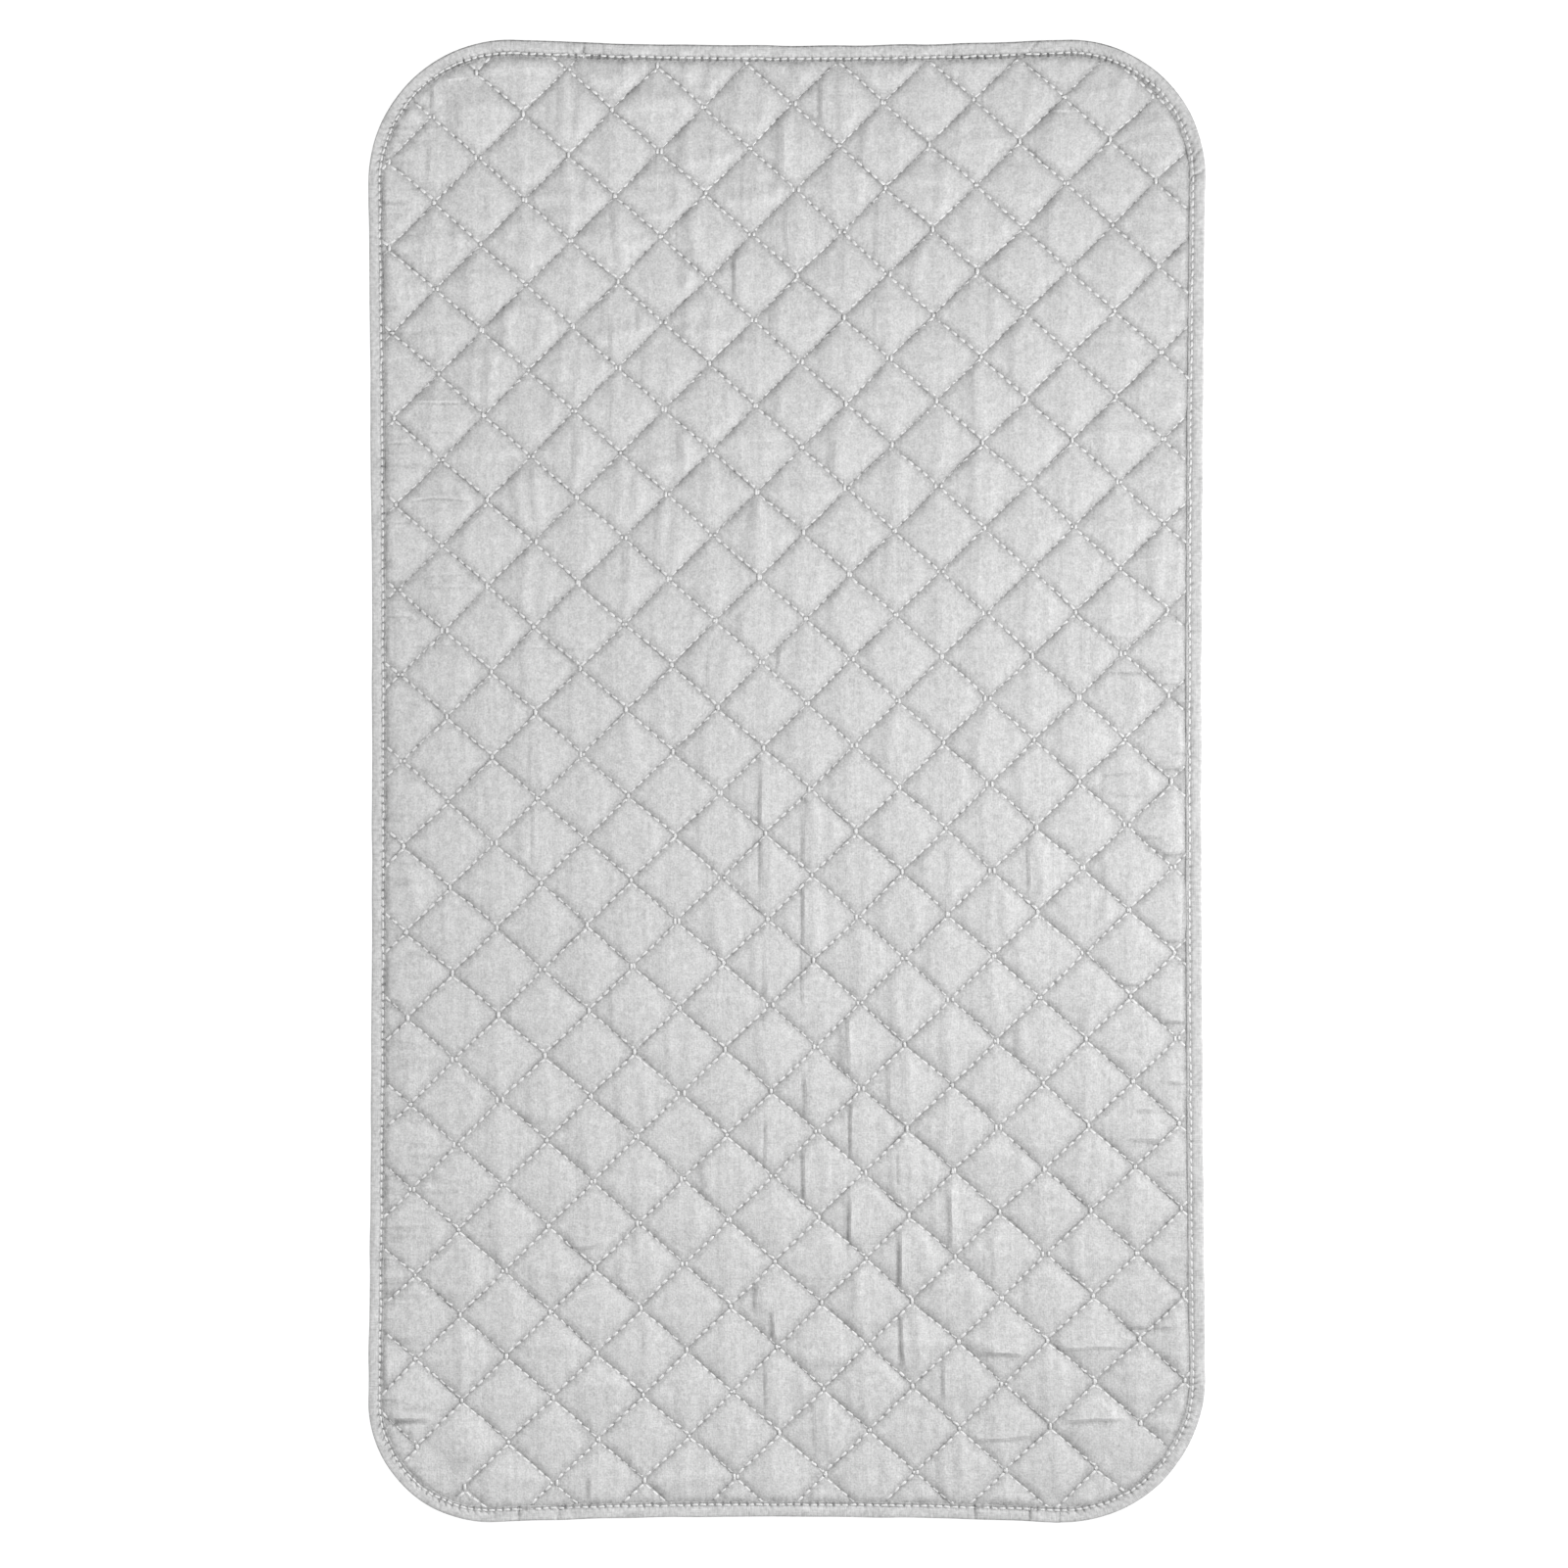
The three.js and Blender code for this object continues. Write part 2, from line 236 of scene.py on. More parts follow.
def past_tape(x, y):
    """How far a point lies inside the tape's inner edge."""
    in_x, in_y = inward(x, y)
    return np.maximum(edge_depth(x, y), CLOTH_RIM) - TAPE_WIDTH * by_side(TAPE_SHARES, -in_x, -in_y)


def outline(spacing):
    """Even stations round the edge: places, outward directions, distance along, and share of corner."""
    points = []
    pulls = (SIDE_PULL, END_PULL, SIDE_PULL, END_PULL)
    arcs = []
    for turn, (signs, radius) in enumerate(CORNER_RADII.items()):
        middle = np.array(signs) * (np.array([PAD_WIDTH, PAD_LENGTH]) / 2 - radius)
        angle = np.radians(90 * (turn - 1)) + np.linspace(0, math.pi / 2, ARC_POINTS)
        arcs.append(middle + radius * np.stack([np.cos(angle), np.sin(angle)], 1))
    for turn, arc in enumerate(arcs):
        start, end = arc[-1], arcs[(turn + 1) % 4][0]
        outward = np.array([math.cos(turn * math.pi / 2), math.sin(turn * math.pi / 2)])
        share = np.linspace(0, 1, SIDE_POINTS)[1:-1, None]
        side = start + (end - start) * share - outward * pulls[turn] * bow(2 * share - 1, 1)
        points += [arc, side]
    points = np.concatenate(points + [points[0][:1]])
    along = run_along(points)
    count = 2 * round(along[-1] / spacing / 2)
    at = np.arange(count) * along[-1] / count
    place = np.stack([np.interp(at, along, points[:, k]) for k in (0, 1)], 1)
    heading = np.roll(place, -1, 0) - np.roll(place, 1, 0)
    heading /= np.linalg.norm(heading, axis=1)[:, None]
    outward = np.stack([heading[:, 1], -heading[:, 0]], 1)
    turned = np.roll(outward, -BEND_STATIONS, 0) - np.roll(outward, BEND_STATIONS, 0)
    bend = np.linalg.norm(turned, axis=1)
    corner = smooth_step(bend / bend.max() * CORNER_GAIN)
    return SimpleNamespace(place=place, outward=outward, along=at, length=along[-1], corner=corner)


# Quilting lattice

# Two places are on one sewn line when they differ by less than this
ON_LINE = 1e-6
# The grid's first step beside a line of stitches
FIRST_STEP = 0.0018
# An unpicked side is sewn again over this share of it at both ends, and its cloth puffs up this far
UNPICKED_FADE = 0.12
UNPICKED_PUFF = 0.75
# How steeply a diamond rises from the stitches and from the tape
STEEP_SHARE = 0.38
STEEP_SHOULDER = 0.0012
GENTLE_SHOULDER = 0.0075
TAPE_SHOULDER = 0.0024


def drift(straight):
    """How far the sewn lines wander from straight ones: rows sag towards both sides and waver a little."""
    x, y = straight[..., 0], straight[..., 1]
    sag = ROW_SAG * (1 / 3 - (x / (PAD_WIDTH / 2)) ** 2)
    waver = [WANDER * soft_noise(x / WANDER_LENGTH, y / WANDER_LENGTH, seed) for seed in (14, 15)]
    return np.stack([waver[0], waver[1] + sag], -1)


def lattice_place(p, q):
    straight = FIRST_CROSSING + np.multiply.outer(p, RISING_SIDE) + np.multiply.outer(q, FALLING_SIDE)
    return straight + drift(straight)


def lattice_at(place):
    """Lattice coordinates of a place: whole numbers on the sewn lines."""
    place = np.asarray(place)
    straight = place - drift(place)
    straight = place - drift(straight)
    return (straight - FIRST_CROSSING) @ TO_LATTICE.T


def knots_of(steps):
    """Steps along a diamond's side, with the first and last drawn close to the stitches."""
    knots = np.linspace(0, 1, steps + 1)
    knots[1] = min(knots[1], FIRST_STEP / SIDE_LENGTH)
    knots[-2] = 1 - knots[1]
    return knots


def unpicked_sides():
    """Lattice middles of the unpicked diamond sides, each moved to the nearest true middle of a side."""
    middles = []
    for place in UNPICKED:
        p, q = lattice_at(place)
        on_p_line = np.array([round(p), math.floor(q) + 0.5])
        on_q_line = np.array([math.floor(p) + 0.5, round(q)])
        here = np.array([p, q])
        middles.append(min((on_p_line, on_q_line), key=lambda m: np.linalg.norm(m - here)))
    return middles


def loosened(p, q, reach):
    """1 on an unpicked side, falling to 0 at the lattice distance reach from it."""
    loose = np.zeros(np.shape(p))
    for middle in unpicked_sides():
        along, off = np.abs(p - middle[0]), np.abs(q - middle[1])
        if middle[0] == round(middle[0]):
            along, off = off, along
        loose = np.maximum(loose, smooth_step((0.5 - along) / UNPICKED_FADE) * smooth_step(1 - off / reach))
    return loose


def quilt_grid(steps):
    """The pad as a grid of small quads whose lines lie on the stitches, cut off at the cloth's rim."""
    knots = knots_of(steps)
    cells = np.arange(-LATTICE_REACH, LATTICE_REACH)
    lines = np.append((cells[:, None] + knots[None, :-1]).ravel(), LATTICE_REACH)
    p, q = np.meshgrid(lines, lines, indexing="ij")
    x, y = np.moveaxis(lattice_place(p, q), -1, 0)
    depth = edge_depth(x, y)
    inside = (depth > CLOTH_RIM).astype(int)
    shared = inside[:-1, :-1] + inside[1:, :-1] + inside[1:, 1:] + inside[:-1, 1:]
    row, column = np.nonzero(shared >= 2)
    used = np.zeros(p.shape, bool)
    for row_step, column_step in ((0, 0), (1, 0), (1, 1), (0, 1)):
        used[row + row_step, column + column_step] = True
    index = np.full(p.shape, -1)
    index[used] = np.arange(used.sum())
    quads = [index[row, column], index[row + 1, column], index[row + 1, column + 1], index[row, column + 1]]
    x, y, depth = x[used], y[used], depth[used]
    down, over = np.nonzero(used)
    short = np.maximum(CLOTH_RIM - depth, 0)
    in_x, in_y = inward(x, y)
    return SimpleNamespace(
        steps=steps, knots=knots, used=used, quads=np.stack(quads, 1), down=down, over=over,
        p=p[used], q=q[used], x=x + short * in_x, y=y + short * in_y, past_tape=past_tape(x, y),
    )


def line_distance(coordinate):
    return np.abs(coordinate - np.round(coordinate)) * SIDE_LENGTH


def stitch_distance(grid):
    return np.minimum(line_distance(grid.p), line_distance(grid.q))


def shoulder(distance):
    """How far the cloth has risen at a distance from a line of stitches: steep first, then gently."""
    steep, gentle = np.exp(-distance / STEEP_SHOULDER), np.exp(-distance / GENTLE_SHOULDER)
    return 1 - STEEP_SHARE * steep - (1 - STEEP_SHARE) * gentle


def pillow(grid):
    """The stuffed form of the diamonds: 0 on stitches and under the tape, towards 1 on a crown."""
    rise = shoulder(line_distance(grid.p)) * shoulder(line_distance(grid.q))
    rise = np.maximum(rise, UNPICKED_PUFF * loosened(grid.p, grid.q, reach=0.35))
    return rise * smooth_step(grid.past_tape / TAPE_SHOULDER)


def on_stitches(grid):
    return (stitch_distance(grid) < ON_LINE) & (loosened(grid.p, grid.q, reach=0.05) < 0.5)


# Creases of the face cloth

# The deepest ones, in millimetres: where one lies, its two ends and its depth
LENGTHWISE_CREASES = (
    (19, 375, 402, 0.4), (-4, 347, 375, 0.25), (-27, 324, 355, 0.25), (-1, 299, 333, 0.25),
    (-32, 276, 302, 0.4), (-10, 256, 274, 0.25), (-102, 243, 274, 0.3), (-102, 195, 223, 0.25),
    (50, 296, 333, 0.25), (50, 251, 276, 0.2), (-204, 375, 403, 0.4), (-207, 346, 366, 0.3),
    (-148, -1, 21, 0.25), (-147, -52, -15, 0.25), (-46, 49, 80, 0.25), (-6, 59, 80, 0.4),
    (-16, -74, 10, 0.45), (9, -147, -7, 0.45), (-13, -153, -88, 0.25), (35, -167, -131, 0.4),
    (57, -189, -153, 0.3), (138, -66, -35, 0.4), (9, -197, -164, 0.4), (9, -247, -205, 0.55),
    (36, -219, -180, 0.55), (35, -273, -238, 0.55), (64, -236, -208, 0.4), (64, -294, -259, 0.8),
    (65, -339, -302, 0.8), (92, -270, -233, 0.4), (117, -289, -259, 0.3), (-13, -221, -187, 0.4),
    (-18, -305, -287, 0.5), (-9, -323, -302, 0.5), (-13, -365, -333, 0.4), (-64, -365, -343, 0.25),
    (15, -387, -351, 0.25), (88, -356, -332, 0.4), (-114, -411, -399, 0.4),
)
CROSSWISE_CREASES = (
    (216, -218, -180, 0.4), (161, -222, -178, 0.4), (194, -27, -1, 0.25), (383, 147, 168, 0.3),
    (110, -208, -172, 0.25), (77, -222, -175, 0.3), (76, -157, -110, 0.25), (62, 182, 207, 0.45),
    (4, 177, 204, 0.3), (-8, 182, 212, 0.3), (-33, 191, 218, 0.3), (-367, -233, -206, 0.4),
    (-367, 157, 194, 0.32), (-378, 106, 142, 0.28), (-326, 148, 198, 0.28), (-330, 104, 136, 0.28),
    (-314, 191, 224, 0.3), (-268, -135, -102, 0.25), (199, -208, -186, 0.25), (193, -229, -216, 0.35),
    (147, -227, -213, 0.3), (117, -206, -178, 0.3), (94, -230, -213, 0.3), (126, 199, 222, 0.25),
    (83, 178, 210, 0.25), (55, 207, 224, 0.45), (15, 220, 232, 0.35), (6, 215, 230, 0.4),
    (-42, 211, 227, 0.45), (-92, 214, 227, 0.4), (-118, 189, 205, 0.4), (-139, 212, 230, 0.45),
    (-173, 218, 231, 0.35), (-190, 197, 215, 0.25), (-207, 194, 213, 0.25), (-226, 215, 231, 0.3),
    (-243, 166, 182, 0.4), (401, -194, -176, 0.3),
)
# Crosswise creases are this much deeper, because light from the side shows them less
CROSSWISE_SHARE = 1.6
# A deep crease across: a dip, a steep flank up to a lip and a long slope down from the lip
CREASE_DIP = 0.0030
CREASE_STEP = 0.0018
CREASE_SLOPE = 0.0045
CREASE_LIP = 0.6
CREASE_GAIN = 2.0
# A deep crease along: it runs past its ends, fades towards them and sways
CREASE_RUN_OUT = 0.003
CREASE_FADE = 3.2
CREASE_SWAY = 0.0014
CREASE_SWAY_LENGTH = 0.020
# How far from a deep crease points are raised, and how far they are drawn onto it
CREASE_REACH = 0.012
CREASE_DRAW = 0.0024
# Depth from which the painted shade at a deep crease's foot is as dark as can be
FULL_SHADE_LENGTHWISE = 0.0006
FULL_SHADE_CROSSWISE = 0.0009

# Soft folds that a diamond may have: lengthwise or not, the chance of one, and what is added to the chance
# at the upper left and at both sides
SOFT_FOLDS = (
    (True, 1.0, 0, 0), (True, 0.9, 0, 0), (True, 0.6, 0, 0),
    (False, 0.3, 0.5, 0), (False, 0, 0, 0.9), (False, 0, 0, 0.7),
)
# Share of a soft fold's height everywhere, and what is added to it in two parts of the pad. A part is given
# by its x, its width and the y from which it is in full.
FOLD_SHARE = 0.85
UPPER_LEFT = (-0.12, 0.14, 0.20)
UPPER_LEFT_SHARE = 1.1
LOWER_MIDDLE = (0.04, 0.10, -0.15)
LOWER_MIDDLE_SHARE = 0.5
# A soft fold: how far it may lie off a diamond's middle, lean and bend
FOLD_SHIFT = 0.028
FOLD_LEAN = 0.4
FOLD_BEND = 16
# The least of a soft fold's two flanks and height, and how much more there may be
FOLD_STEEP = (0.0016, 0.0012)
FOLD_GENTLE = (0.0022, 0.0030)
FOLD_HEIGHT = (0.00024, 0.00070)
# Soft folds that meet don't rise higher than this together. They start beside the stitches over this length,
# and beside unpicked ones they lose this share.
HIGHEST_FOLD = 0.0025
FOLD_SHOULDER = 0.0036
UNPICKED_SMOOTHING = 0.7


def deep_creases():
    """The deepest creases: lengthwise or not, where each lies, its two ends and its depth."""
    creases = [(True, *line) for line in LENGTHWISE_CREASES]
    creases += [(False, *line, CROSSWISE_SHARE * depth) for *line, depth in CROSSWISE_CREASES]
    return [
        (way, at / 1000, low / 1000 - CREASE_RUN_OUT, high / 1000 + CREASE_RUN_OUT, depth / 1000)
        for way, at, low, high, depth in creases
    ]


def crease_form(off):
    """Height of a crease of depth one at a distance across it."""
    dip = (CREASE_LIP - 1) * np.exp(np.minimum(off, 0) / CREASE_DIP)
    lip = CREASE_LIP * np.exp(-np.maximum(off - CREASE_STEP, 0) / CREASE_SLOPE)
    return np.where(off < 0, dip, np.where(off > CREASE_STEP, lip, off / CREASE_STEP + CREASE_LIP - 1))


def fold(off, steep, gentle):
    """A soft fold: 1 on its ridge, a steep flank on one side of it and a gentle one on the other."""
    return np.where(off < 0, smooth_step(1 + off / steep), bell(off, gentle))


def part_of(place, x, width, full_y):
    """How far a place belongs to the part of the pad about x that is in full from full_y on."""
    return bell(place[0] - x, width) * smooth_step(place[1] / full_y)


def soft_creases(grid):
    """Heights of the soft folds that run across most diamonds, from stitches to stitches."""
    height = np.zeros(len(grid.x))
    random = np.random.default_rng(61)
    cell_p, cell_q = np.floor(grid.p).astype(int), np.floor(grid.q).astype(int)
    cells = np.unique(np.stack([cell_p, cell_q], 1), axis=0)
    for p, q in cells:
        here = np.nonzero((cell_p == p) & (cell_q == q))[0]
        middle = lattice_place(p + 0.5, q + 0.5)
        side = min(abs(middle[0]) / (PAD_WIDTH / 2), 1)
        upper_left = part_of(middle, *UPPER_LEFT)
        lower_middle = part_of(middle, *LOWER_MIDDLE)
        drawn_up = FOLD_SHARE + UPPER_LEFT_SHARE * upper_left + LOWER_MIDDLE_SHARE * lower_middle
        for lengthwise, chance, more_upper_left, more_at_side in SOFT_FOLDS:
            drawn, shift, lean, bend, depth, steep, gentle = random.random(7)
            if drawn > chance + more_upper_left * upper_left + more_at_side * side ** 2:
                continue
            along, across = grid.y[here] - middle[1], grid.x[here] - middle[0]
            if not lengthwise:
                along, across = across, along
            off = across - FOLD_SHIFT * (shift - 0.5) - FOLD_LEAN * (lean - 0.5) * along
            off -= FOLD_BEND * (bend - 0.5) * along ** 2
            ridge = fold(off, FOLD_STEEP[0] + FOLD_STEEP[1] * steep, FOLD_GENTLE[0] + FOLD_GENTLE[1] * gentle)
            height[here] += drawn_up * (FOLD_HEIGHT[0] + FOLD_HEIGHT[1] * depth ** 2) * ridge
    height = HIGHEST_FOLD * np.tanh(height / HIGHEST_FOLD)
    smoothed = UNPICKED_SMOOTHING * loosened(grid.p, grid.q, reach=0.5)
    return height * smooth_step(stitch_distance(grid) / FOLD_SHOULDER) * (1 - smoothed)


def crease_cloth(grid, free):
    """Draws two chains of points in each diamond onto the foot and the lip of each deep crease.

    Returns the creases' heights, the painted shade at their feet, and a number for each chain, odd for a lip.
    """
    height, strength = np.zeros(len(grid.x)), np.zeros(len(grid.x))
    chain = np.zeros(len(grid.x), int)
    made = 0
    diamond = np.floor(grid.p) * 4 * LATTICE_REACH + np.floor(grid.q)
    for number, (lengthwise, at, low, high, depth) in enumerate(deep_creases()):
        along, across = (grid.y, grid.x) if lengthwise else (grid.x, grid.y)
        # Painted shade at the crease's foot: deeper creases are painted darker
        dark = min(depth / (FULL_SHADE_LENGTHWISE if lengthwise else FULL_SHADE_CROSSWISE), 1)
        chains = grid.down - grid.over if lengthwise else grid.down + grid.over
        near = np.nonzero((along > low) & (along < high) & (np.abs(across - at) < CREASE_REACH))[0]
        own_row = np.full(len(near), number + 0.5)
        sway = CREASE_SWAY * soft_noise(along[near] / CREASE_SWAY_LENGTH, own_row, seed=62)
        off = across[near] - at - sway
        reach = (along[near] - low) / (high - low)
        fade = smooth_step(CREASE_FADE * reach) * smooth_step(CREASE_FADE * (1 - reach))
        for one in np.unique(diamond[near]):
            here = (diamond[near] == one) & free[near]
            untouched = here & (chain[near] == 0)
            numbers = np.unique(chains[near[untouched]])
            if len(numbers) < 2:
                continue
            misses = [np.abs(np.mean(off[untouched & (chains[near] == foot)])) for foot in numbers]
            foot = numbers[np.argmin(misses)]
            made += 2
            for lifted in (0, 1):
                goal = lifted * CREASE_STEP
                drawn = untouched & (chains[near] == foot + lifted) & (np.abs(off - goal) < CREASE_DRAW)
                if np.count_nonzero(drawn) < 3:
                    continue
                across[near[drawn]] += goal - off[drawn]
                off[drawn] = goal
                chain[near[drawn]] = made + lifted
                strength[near[drawn]] = (1 - lifted) * fade[drawn] * dark
            height[near[here]] += CREASE_GAIN * depth * (fade * crease_form(off))[here]
    return height, strength, chain


def folded_quads(quads, chain):
    """The quads, split along the diagonal on which a crease runs."""
    first, second, third, fourth = quads.T
    split_down = (chain[first] == chain[third]) & (chain[first] > 0)
    split_over = (chain[second] == chain[fourth]) & (chain[second] > 0) & ~split_down
    faces = quads[~(split_down | split_over)].tolist()
    for a, b, c, d in quads[split_down].tolist():
        faces += [(a, b, c), (a, c, d)]
    for a, b, c, d in quads[split_over].tolist():
        faces += [(a, b, d), (b, c, d)]
    return faces


# Face cloth

# Rise of the cloth over the stitches, and more of it over a corner magnet
CROWN = 0.0015
BULGE_HEIGHT = 0.0012
# The cloth is held from this far under the tape, and creases and puckers fade out this far before it
TAPED_FROM = 0.0006
CREASE_FREE = 0.003
PUCKER_FREE = 0.004

# Pressure of the padding: steps of the simulation, the furthest that it may move a point, and its settings
CLOTH_FRAMES = 8
CLOTH_CAP = 0.0006
CLOTH_SETTINGS = {
    "quality": 3, "mass": 0.1, "tension_stiffness": 15, "compression_stiffness": 15, "shear_stiffness": 8,
    "bending_stiffness": 0.5, "vertex_group_mass": "held", "shrink_min": -0.002,
    "use_pressure": True, "uniform_pressure_force": 1,
}

# Puckers and wider lumps beside the stitches: height, distance over which they start, how far they reach
PUCKER = (0.00080, 0.0010, 0.0024)
LUMP = (0.00030, 0.002, 0.006)
# They change over this many stitches along the line, and this often in a diamond across
PUCKER_RUN = 2.5
PUCKER_CHANGES = 3
LUMP_RUN = 1.4
LUMP_CHANGES = 2.2
# The even and the random share of a pucker
PUCKER_SHARES = (0.8, 0.5)
# Dips at the needle holes
DIP_HEIGHT = 0.00016
DIP_REACH = 0.0006

# Ripples of the padded cloth: height, length across the pad, length along it, seed
LENGTHWISE_RIPPLES = ((0.00022, 0.0045, 0.026, 21), (0.00020, 0.011, 0.050, 25))
CROSSWISE_RIPPLES = ((0.00018, 0.026, 0.0048, 22), (0.00016, 0.040, 0.012, 26))
# Ripples mostly run lengthwise, but not in some patches and towards the sides. Both kinds keep a least share.
RIPPLE_PATCHES = ((0.9, 0.11, 0.11, 23),)
LENGTHWISE_SHARE = 0.85
LEAST_RIPPLE = 0.3

# Folds that run in from the tape: height, lengths along and in from the tape, seed, and how far they run in
EDGE_PUCKERS = ((0.00130, 0.0065, 0.05, 24),)
EDGE_PUCKER_START = 0.002
EDGE_PUCKER_REACH = 0.008

# Fine wrinkles along the two long sides: how strong they are by side, and how far they run in from the tape.
# The material bumps them and paints their shade as thin dark lines
GATHERS = {(1, 0): 0.5, (-1, 0): 1.0}
GATHER_REACH = 0.030

# How far the cloth is painted darker beside the stitches and beside the tape: painted shade in the sewn
# grooves and painted shadow of the tape's edge
GROOVE_SHADE_REACH = 0.0030
TAPE_SHADE = 0.0040


def inflate(grid, start, held):
    """Blender's cloth simulation: the padding presses the cloth up between the held stitches."""
    cloth = new_piece("cloth_under_pressure", np.stack([grid.x, grid.y, start], 1), grid.quads)
    group = cloth.vertex_groups.new(name="held")
    group.add(np.nonzero(held)[0].tolist(), 1.0, "REPLACE")
    modifier = cloth.modifiers.new("padding pressure", "CLOTH")
    for name, value in CLOTH_SETTINGS.items():
        setattr(modifier.settings, name, value)
    modifier.settings.effector_weights.gravity = 0
    modifier.collision_settings.use_collision = False
    modifier.point_cache.frame_start = 1
    modifier.point_cache.frame_end = CLOTH_FRAMES
    for step in range(1, CLOTH_FRAMES + 1):
        bpy.context.scene.frame_set(step)
    settled = cloth.evaluated_get(bpy.context.evaluated_depsgraph_get())
    points = np.zeros(len(grid.x) * 3)
    settled.data.vertices.foreach_get("co", points)
    bpy.data.objects.remove(cloth)
    bpy.context.scene.frame_set(1)
    return points.reshape(-1, 3)


def beside(distance, height, start, reach):
    """A height that is 0 on a line, most at a short distance from it, and 0 again far away."""
    return height * np.exp(-distance / reach) * (1 - np.exp(-distance / start))


def stitch_puckers(grid):
    """Small bulges beside the stitches: the cloth rises between two needle holes and dips at each."""
    height = np.zeros(len(grid.p))
    for off, along, seed in ((grid.p, grid.q, 11), (grid.q, grid.p, 12)):
        distance = line_distance(off)
        turns = along * STITCHES_PER_EDGE
        wave = np.cos(2 * math.pi * turns)
        even, random = PUCKER_SHARES
        uneven = even + random * soft_noise(turns / PUCKER_RUN, off * PUCKER_CHANGES, seed)
        lumps = soft_noise(turns / LUMP_RUN, off * LUMP_CHANGES, seed + 10)
        height += uneven * wave * beside(distance, *PUCKER) + lumps * beside(distance, *LUMP)
        height -= DIP_HEIGHT * (1 - wave) * np.exp(-distance / DIP_REACH)
    sewn = 1 - loosened(grid.p, grid.q, reach=0.25)
    return height * sewn * smooth_step(grid.past_tape / PUCKER_FREE)


def cloth_ripples(grid):
    """Slight lengthwise and crosswise unevenness of the padded cloth."""
    lengthwise = ripples(grid.x, grid.y, LENGTHWISE_RIPPLES)
    crosswise = ripples(grid.x, grid.y, CROSSWISE_RIPPLES)
    patches = ripples(grid.x, grid.y, RIPPLE_PATCHES)
    share = (1 - LEAST_RIPPLE) * smooth_step(LENGTHWISE_SHARE + patches - (grid.x / PAD_WIDTH * 2) ** 4)
    return lengthwise * (LEAST_RIPPLE + share) + crosswise * (1 - share)


def edge_puckers(grid):
    """Folds that run in from the tape, which gathers the cloth a little."""
    along = np.arctan2(grid.y / PAD_LENGTH, grid.x / PAD_WIDTH) * PAD_LENGTH / 2
    folds = ripples(along, grid.past_tape, EDGE_PUCKERS) * smooth_step(grid.past_tape / EDGE_PUCKER_START)
    return folds * np.exp(-np.maximum(grid.past_tape, 0) / EDGE_PUCKER_REACH)


def magnet_discs(grid):
    """For each corner magnet: the distance of the grid's points from its middle, its radius and its top."""
    for name in magnets:
        low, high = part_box(name)
        middle = (low + high) / 2
        yield np.hypot(grid.x - middle.x, grid.y - middle.y), (high.x - low.x) / 2, high.z


def magnet_bulges(grid):
    """The cloth over the corner magnets, raised in smooth discs."""
    return sum(BULGE_HEIGHT * smooth_step(2 - off / radius) for off, radius, _ in magnet_discs(grid))


def crisp_edges(cloth, grid, stitched, chain):
    """Makes the edges sharp that lie on sewn lines and on the lips of deep creases."""
    ends = np.zeros(len(cloth.data.edges) * 2, int)
    cloth.data.edges.foreach_get("vertices", ends)
    first, second = ends.reshape(-1, 2).T
    on_line = np.zeros(len(first), bool)
    for line in (grid.p, grid.q):
        on_line |= (np.abs(line[first] - line[second]) < ON_LINE) & (line_distance(line[first]) < ON_LINE)
    on_lip = (chain[first] == chain[second]) & (chain[first] % 2 == 1)
    sharp = cloth.data.attributes.new("sharp_edge", "BOOLEAN", "EDGE")
    sharp.data.foreach_set("value", on_line & stitched[first] & stitched[second] | on_lip)


def make_face_cloth():
    grid = quilt_grid(2 * STITCHES_PER_EDGE)
    form = pillow(grid)
    taped = grid.past_tape < -TAPED_FROM
    stitched = on_stitches(grid)
    held = stitched | taped
    start = np.where(held, 0, form * (CROWN + cloth_ripples(grid)))
    points = inflate(grid, start, held)
    for place, moved in zip((grid.x, grid.y, start), points.T):
        place += np.clip(moved - place, -CLOTH_CAP, CLOTH_CAP)
    creases, crease_foot_shade, chain = crease_cloth(grid, ~held)
    rise = start + form * (cloth_ripples(grid) + edge_puckers(grid) + magnet_bulges(grid))
    rise += stitch_puckers(grid)
    rise += (creases + soft_creases(grid)) * smooth_step(grid.past_tape / CREASE_FREE)
    grid.z = FACE_SEWN + np.where(taped, np.minimum(rise, 0), rise)
    faces = folded_quads(grid.quads, chain)
    cloth = new_piece("face_cloth_quilted", np.stack([grid.x, grid.y, grid.z], 1), faces)
    crisp_edges(cloth, grid, stitched, chain)
    add_uv(cloth, "stitches", np.stack([grid.p, grid.q], 1) * STITCHES_PER_EDGE)
    # Painted shade in the grooves beside the stitches and painted shadow beside the tape's inner edge, kept
    # on the mesh for the cloth's colour
    groove_shade = np.exp(-stitch_distance(grid) / GROOVE_SHADE_REACH) * (1 - loosened(grid.p, grid.q, reach=0.25))
    tape_edge_shadow = smooth_step(1 - grid.past_tape / TAPE_SHADE)
    add_values(cloth, "groove_shade", np.maximum(groove_shade, tape_edge_shadow))
    # Painted shade at the feet of the deep creases, kept on the mesh for the cloth's colour
    add_values(cloth, "crease", crease_foot_shade)
    # Where fine wrinkles run in from the long sides; the cloth's material bumps them and paints their shade
    in_x, in_y = inward(grid.x, grid.y)
    gathered = by_side(GATHERS, -in_x, -in_y) * np.exp(-np.maximum(grid.past_tape, 0) / GATHER_REACH)
    add_values(cloth, "gathered", gathered)
    return cloth, grid


